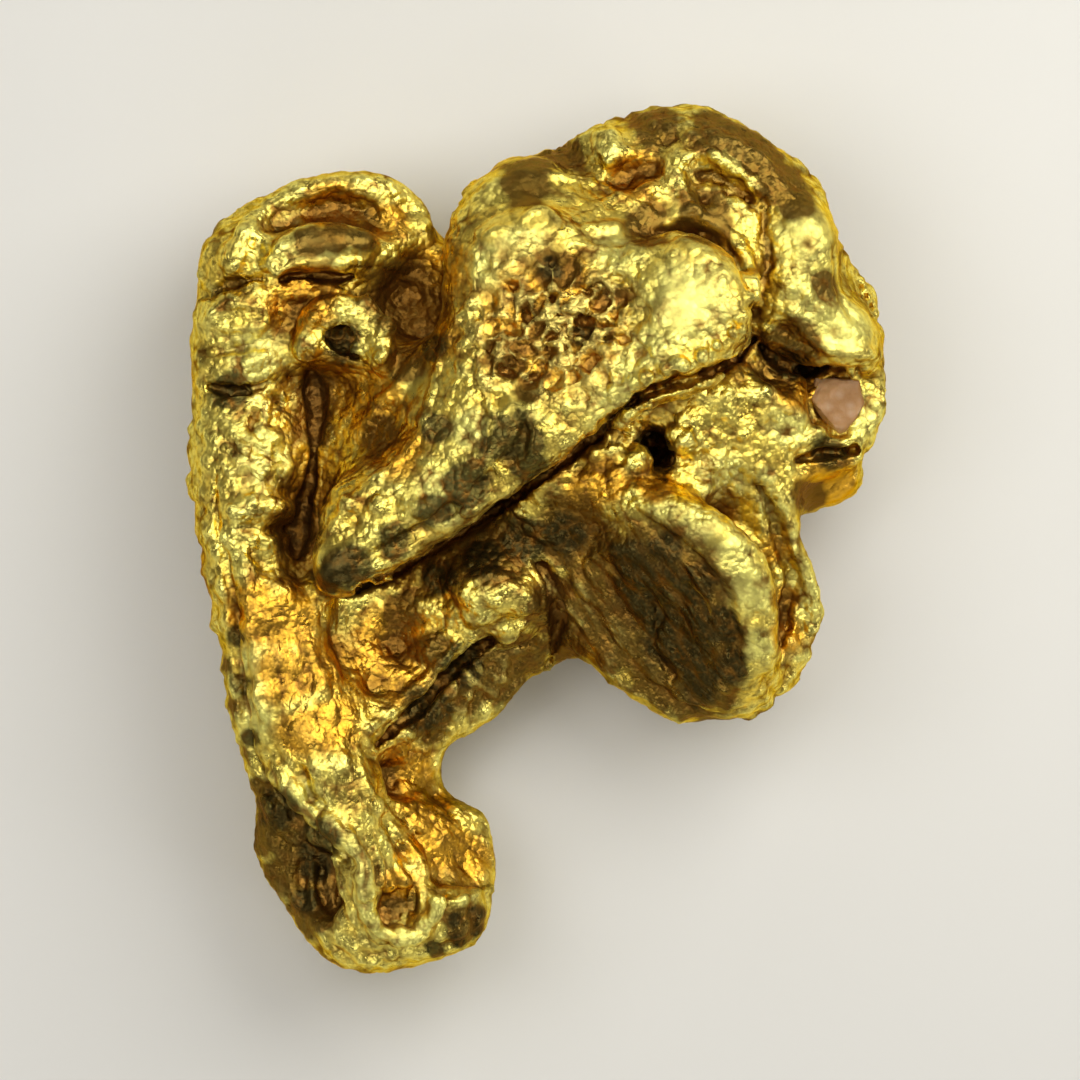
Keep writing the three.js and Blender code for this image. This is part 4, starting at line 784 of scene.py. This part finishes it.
class Shader:
    """A short way to write a material's nodes."""

    def __init__(self, name):
        self.material = bpy.data.materials.new(name)
        self.material.use_nodes = True
        self.tree = self.material.node_tree
        self.shader = self.tree.nodes["Principled BSDF"]

    def add(self, kind, settings=None, **inputs):
        node = self.tree.nodes.new(kind)
        for key, value in (settings or {}).items():
            setattr(node, key, value)
        for key, value in inputs.items():
            self.put(node, key.replace("_", " "), value)
        return node

    def put(self, node, key, value):
        """Sets or links an input by its name, or by its number after an i."""
        socket = node.inputs[int(key[1:])] if key[0] == "i" and key[1:].isdigit() else node.inputs[key]
        if isinstance(value, bpy.types.NodeSocket):
            self.tree.links.new(value, socket)
        else:
            socket.default_value = value

    def math(self, operation, a, b=0.0):
        return self.add("ShaderNodeMath", {"operation": operation}, i0=a, i1=b).outputs[0]

    def ramp(self, value, low, high, to_low=0.0, to_high=1.0):
        node = self.add("ShaderNodeMapRange", {"clamp": True}, Value=value)
        for key, number in (("From Min", low), ("From Max", high), ("To Min", to_low), ("To Max", to_high)):
            node.inputs[key].default_value = number
        return node.outputs[0]

    def mix(self, share, a, b):
        """Two colours mixed."""
        return self.add("ShaderNodeMix", {"data_type": "RGBA"}, i0=share, i6=a, i7=b).outputs[2]

    def mixed(self, share, a, b):
        """Two numbers mixed."""
        return self.add("ShaderNodeMix", {"data_type": "FLOAT"}, i0=share, i2=a, i3=b).outputs[0]

    def noted(self, name):
        return self.add("ShaderNodeAttribute", {"attribute_name": name}).outputs["Fac"]

    def noise(self, per_unit, detail):
        place = self.add("ShaderNodeTexCoord").outputs["Object"]
        node = self.add("ShaderNodeTexNoise", Vector=place, Scale=per_unit / UNIT, Detail=detail)
        return node.outputs["Fac"]

    def cells(self, per_unit, turn=0.0, stretch=1.0):
        """Distances to scattered points, which lie stretch times further apart along turn, in degrees
        from +X."""
        place = self.add("ShaderNodeTexCoord").outputs["Object"]
        if stretch != 1:
            turned = self.add("ShaderNodeMapping", {"vector_type": "TEXTURE"}, Vector=place)
            turned.inputs["Rotation"].default_value[2] = math.radians(turn)
            turned.inputs["Scale"].default_value[0] = stretch
            place = turned.outputs[0]
        return self.add("ShaderNodeTexVoronoi", Vector=place, Scale=per_unit / UNIT).outputs["Distance"]

    def bump(self, height, strength, distance):
        node = self.add("ShaderNodeBump", Height=height, Strength=strength, Distance=distance * UNIT)
        self.put(self.shader, "Normal", node.outputs[0])


# Colours of the gold's bare skin, then two painted highlights: a pale gold for crests and the pale spots,
# and a gold for the tops of the grain.
YELLOW_GOLD = (1.0, 0.82, 0.16, 1)
WARM_GOLD = (0.97, 0.7, 0.1, 1)
PAINTED_HIGHLIGHT_GOLD = (0.98, 0.9, 0.24, 1)
GRAIN_TOP_HIGHLIGHT = (1.0, 0.8, 0.2, 1)
# Painted shade: darker colours for its hollows, creases, the feet of its grains, its pits and the grooves
# between its grains; then the colours of its stains.
HOLLOW_SHADE = (0.6, 0.31, 0.04, 1)
CREASE_SHADE = (0.15, 0.07, 0.014, 1)
GRAIN_FOOT_SHADE = (0.36, 0.17, 0.03, 1)
PIT_SHADE = (0.08, 0.045, 0.015, 1)
GROOVE_SHADE = (0.2, 0.09, 0.014, 1)
# The stains are partly painted shade: warm in valleys, dark on shaded faces, near black along seams.
AMBER_STAIN_AND_SHADE = (0.78, 0.38, 0.025, 1)
UMBER_STAIN_AND_SHADE = (0.12, 0.055, 0.008, 1)
BLACK_STAIN_AND_SHADOW = (0.05, 0.038, 0.012, 1)
GLANCING_GOLD = (0.9, 0.6, 0.15, 1)  # the tint of reflections at a low angle

QUARTZ_TAN = (0.5, 0.29, 0.14, 1)
QUARTZ_BROWN = (0.34, 0.17, 0.06, 1)
QUARTZ_FLAKE = (0.62, 0.47, 0.34, 1)


def gold_material():
    s = Shader("native_gold")
    hollow, relief, grain, smooth = s.noted("hollow"), s.noted("relief"), s.noted("grain"), s.noted("smooth")
    patches, grit = s.noise(0.7, 4.0), s.noise(4.0, 4.0)
    pebbles = s.mixed(s.noted("lengthwise"), s.cells(5.0), s.cells(5.0, 90, 2.4))
    pebbles = s.mixed(s.noted("aslant"), pebbles, s.cells(5.0, 122, 2.8))
    crumbs = s.cells(9.0)
    blotches = s.noise(1.9, 3.0)
    uneven = s.math("ADD", s.math("MULTIPLY", grit, 0.5), s.math("MULTIPLY", blotches, 1.3))
    uneven = s.math("SUBTRACT", uneven, 0.9)  # about 0 on average

    def spread(name, low, high):
        """Where a mark lies, with a ragged edge. The marks are stains, painted highlights and painted shade.
        """
        return s.ramp(s.math("ADD", s.noted(name), uneven), low, high)

    colour = s.mix(s.ramp(patches, 0.4, 0.6), YELLOW_GOLD, WARM_GOLD)
    # Painted highlight: paler gold on crests, on the tops of the grain and in the pale spots.
    crests = s.math("ADD", s.ramp(relief, 0.0, 0.16, 0, 0.5), s.ramp(grain, 0.0, 0.05, 0, 0.5))
    colour = s.mix(s.math("MAXIMUM", crests, spread("pale", 0.2, 0.9)), colour, PAINTED_HIGHLIGHT_GOLD)
    # Painted shade: amber-brown in hollows, where little light reaches.
    deep = s.ramp(s.math("ADD", hollow, s.math("MULTIPLY", uneven, 0.5)), 0.34, 0.6)
    colour = s.mix(deep, colour, HOLLOW_SHADE)
    # Amber: partly a stain, partly painted warm shade in the valleys.
    colour = s.mix(s.math("MULTIPLY", spread("amber", 0.1, 0.7), 0.85), colour, AMBER_STAIN_AND_SHADE)
    # Umber and near black: partly stains, partly painted shade, dark reflection and shadow.
    umber, black_stain_and_shadow = spread("umber", 0.0, 0.5), spread("black_stain_and_shadow", 0.2, 0.6)
    colour = s.mix(s.math("MULTIPLY", umber, 0.92), colour, UMBER_STAIN_AND_SHADE)
    # Painted shade in creases and at the feet of the grains.
    colour = s.mix(s.ramp(relief, -0.01, -0.11, 0, 0.92), colour, CREASE_SHADE)
    colour = s.mix(s.ramp(grain, -0.015, -0.06, 0, 0.75), colour, GRAIN_FOOT_SHADE)
    # Painted shade, near black, in deep pits.
    pits = s.math("SUBTRACT", s.ramp(hollow, 0.5, 0.8), s.ramp(relief, -0.2, 0.1, 0.0, 0.3))
    colour = s.mix(s.ramp(pits, 0.2, 0.8), colour, PIT_SHADE)
    # Near black: partly a stain, partly painted shadow.
    colour = s.mix(s.math("MULTIPLY", black_stain_and_shadow, 0.92), colour, BLACK_STAIN_AND_SHADOW)
    # Painted highlight: clear gold again on the tops of the grain, less of it on the streaks.
    fewer_on_streaks = s.ramp(s.noted("lengthwise"), 0, 0.5, 1, 0.3)
    rims = s.math("MULTIPLY", s.ramp(grain, 0.05, 0.11, 0, 0.8), fewer_on_streaks)
    colour = s.mix(rims, colour, GRAIN_TOP_HIGHLIGHT)
    # Painted shade: dark lines in the grooves between the grains, where the bump sinks.
    groove_shade_share = s.math("MAXIMUM", s.ramp(pebbles, 0.5, 0.8), s.ramp(crumbs, 0.55, 0.9, 0, 0.7))
    groove_shade_share = s.math("MULTIPLY", groove_shade_share, s.ramp(smooth, 0, 1, 0.95, 0.35))
    groove_shade_share = s.math("MULTIPLY", groove_shade_share, s.ramp(blotches, 0.38, 0.62, 0.35, 1.0))
    s.put(s.shader, "Base Color", s.mix(groove_shade_share, colour, GROOVE_SHADE))
    s.put(s.shader, "Metallic", s.ramp(s.math("MAXIMUM", umber, black_stain_and_shadow), 0, 1, 1.0, 0.85))
    s.shader.inputs["Specular Tint"].default_value = GLANCING_GOLD
    dull = s.math("MAXIMUM", s.math("MULTIPLY", deep, 0.1), s.ramp(s.noted("pale"), 0.0, 0.8, 0.0, 0.12))
    s.put(s.shader, "Roughness", s.math("ADD", s.ramp(grit, 0.3, 0.7, 0.24, 0.42), dull))
    height = s.math("ADD", s.math("MULTIPLY", pebbles, -1.0), s.math("MULTIPLY", grit, 0.7))
    height = s.math("ADD", height, s.math("MULTIPLY", crumbs, -0.3))
    s.bump(s.math("MULTIPLY", height, s.ramp(smooth, 0, 1, 1.0, 0.35)), 0.55, 0.09)
    return s.material


def quartz_material():
    s = Shader("iron_stained_quartz")
    stain, grit, flakes = s.noise(1.6, 4.0), s.noise(6.0, 4.0), s.cells(4.0)
    colour = s.mix(s.ramp(stain, 0.38, 0.62), QUARTZ_TAN, QUARTZ_BROWN)
    s.put(s.shader, "Base Color", s.mix(s.ramp(flakes, 0.1, 0.5, 0.3, 0.0), colour, QUARTZ_FLAKE))
    s.put(s.shader, "Roughness", s.ramp(grit, 0.3, 0.7, 0.35, 0.6))
    s.shader.inputs["IOR"].default_value = 1.54
    s.shader.inputs["Specular IOR Level"].default_value = 0.25
    s.shader.inputs["Subsurface Weight"].default_value = 0.25
    s.shader.inputs["Subsurface Radius"].default_value = (0.3 * UNIT, 0.15 * UNIT, 0.08 * UNIT)
    s.bump(s.math("ADD", grit, s.math("MULTIPLY", flakes, 0.8)), 0.5, 0.06)
    return s.material


def floor_material():
    s = Shader("pale_floor")
    s.shader.inputs["Base Color"].default_value = (0.78, 0.77, 0.75, 1)
    s.shader.inputs["Roughness"].default_value = 0.9
    return s.material


nugget_mesh.materials.append(gold_material())
quartz.data.materials.append(quartz_material())


# ----------------------------------------
# The floor, lights and camera

FLOOR_REACH = 720 * UNIT  # half of the floor's side
floor_mesh = bpy.data.meshes.new("floor")
floor_corners = [(x * FLOOR_REACH, y * FLOOR_REACH, 0) for x, y in ((-1, -1), (1, -1), (1, 1), (-1, 1))]
floor_mesh.from_pydata(floor_corners, [], [(0, 1, 2, 3)])
floor_mesh.materials.append(floor_material())
floor = add_object("floor", floor_mesh)
floor.location.z = CAD_BOX[0][2]

NUGGET_MIDDLE = 3.5 * UNIT  # its height above the floor
FRAME_SIDE = 22.5 * UNIT  # what the camera sees, across the middle of the nugget
LENS_LENGTH = 16  # lens length over sensor width, and distance over frame side
camera = add_object("camera", bpy.data.cameras.new("camera"))
camera.location = (0, 0, NUGGET_MIDDLE + LENS_LENGTH * FRAME_SIDE)
camera.data.lens = LENS_LENGTH * camera.data.sensor_width
camera.data.clip_start, camera.data.clip_end = 0.001, 10  # metres
scene = bpy.context.scene
scene.camera = camera
LIT_MIDDLE = 3 * UNIT  # the height above the floor that the lights face


def softbox(name, towards, distance, size, power, colour=(1, 1, 1)):
    """A rectangular light that faces the nugget from a direction and a distance. Its power is in watts for
    a nugget whose unit is a metre."""
    light = bpy.data.lights.new(name, "AREA")
    light.shape = "RECTANGLE"
    light.size, light.size_y = size[0] * UNIT, size[1] * UNIT
    light.energy = power * UNIT**2
    light.color = colour
    lamp = add_object(name, light)
    away = Vector(towards).normalized()
    lamp.location = Vector((0, 0, LIT_MIDDLE)) + away * distance * UNIT
    lamp.rotation_mode = "QUATERNION"
    lamp.rotation_quaternion = away.to_track_quat("Z", "Y")


softbox("overhead", (0.06, 0.08, 1), 420, (320, 320), 270000)
softbox("key", (0.5, 0.45, 0.74), 60, (50, 50), 25000, (1, 0.99, 0.93))
softbox("top", (-0.15, 0.95, 0.5), 70, (36, 16), 3500)
softbox("front", (-0.1, -0.85, 0.52), 70, (44, 24), 5500)
softbox("side", (0.9, -0.55, 0.35), 70, (20, 16), 5000)
softbox("left", (-0.9, -0.5, 0.4), 70, (8, 34), 2500)
softbox("upper left", (-0.44, 0.14, 0.88), 60, (36, 36), 10000)
world = bpy.data.worlds.new("studio")
scene.world = world
world.use_nodes = True
world.node_tree.nodes["Background"].inputs["Color"].default_value = (0.14, 0.125, 0.085, 1)
scene.view_settings.view_transform = "Standard"
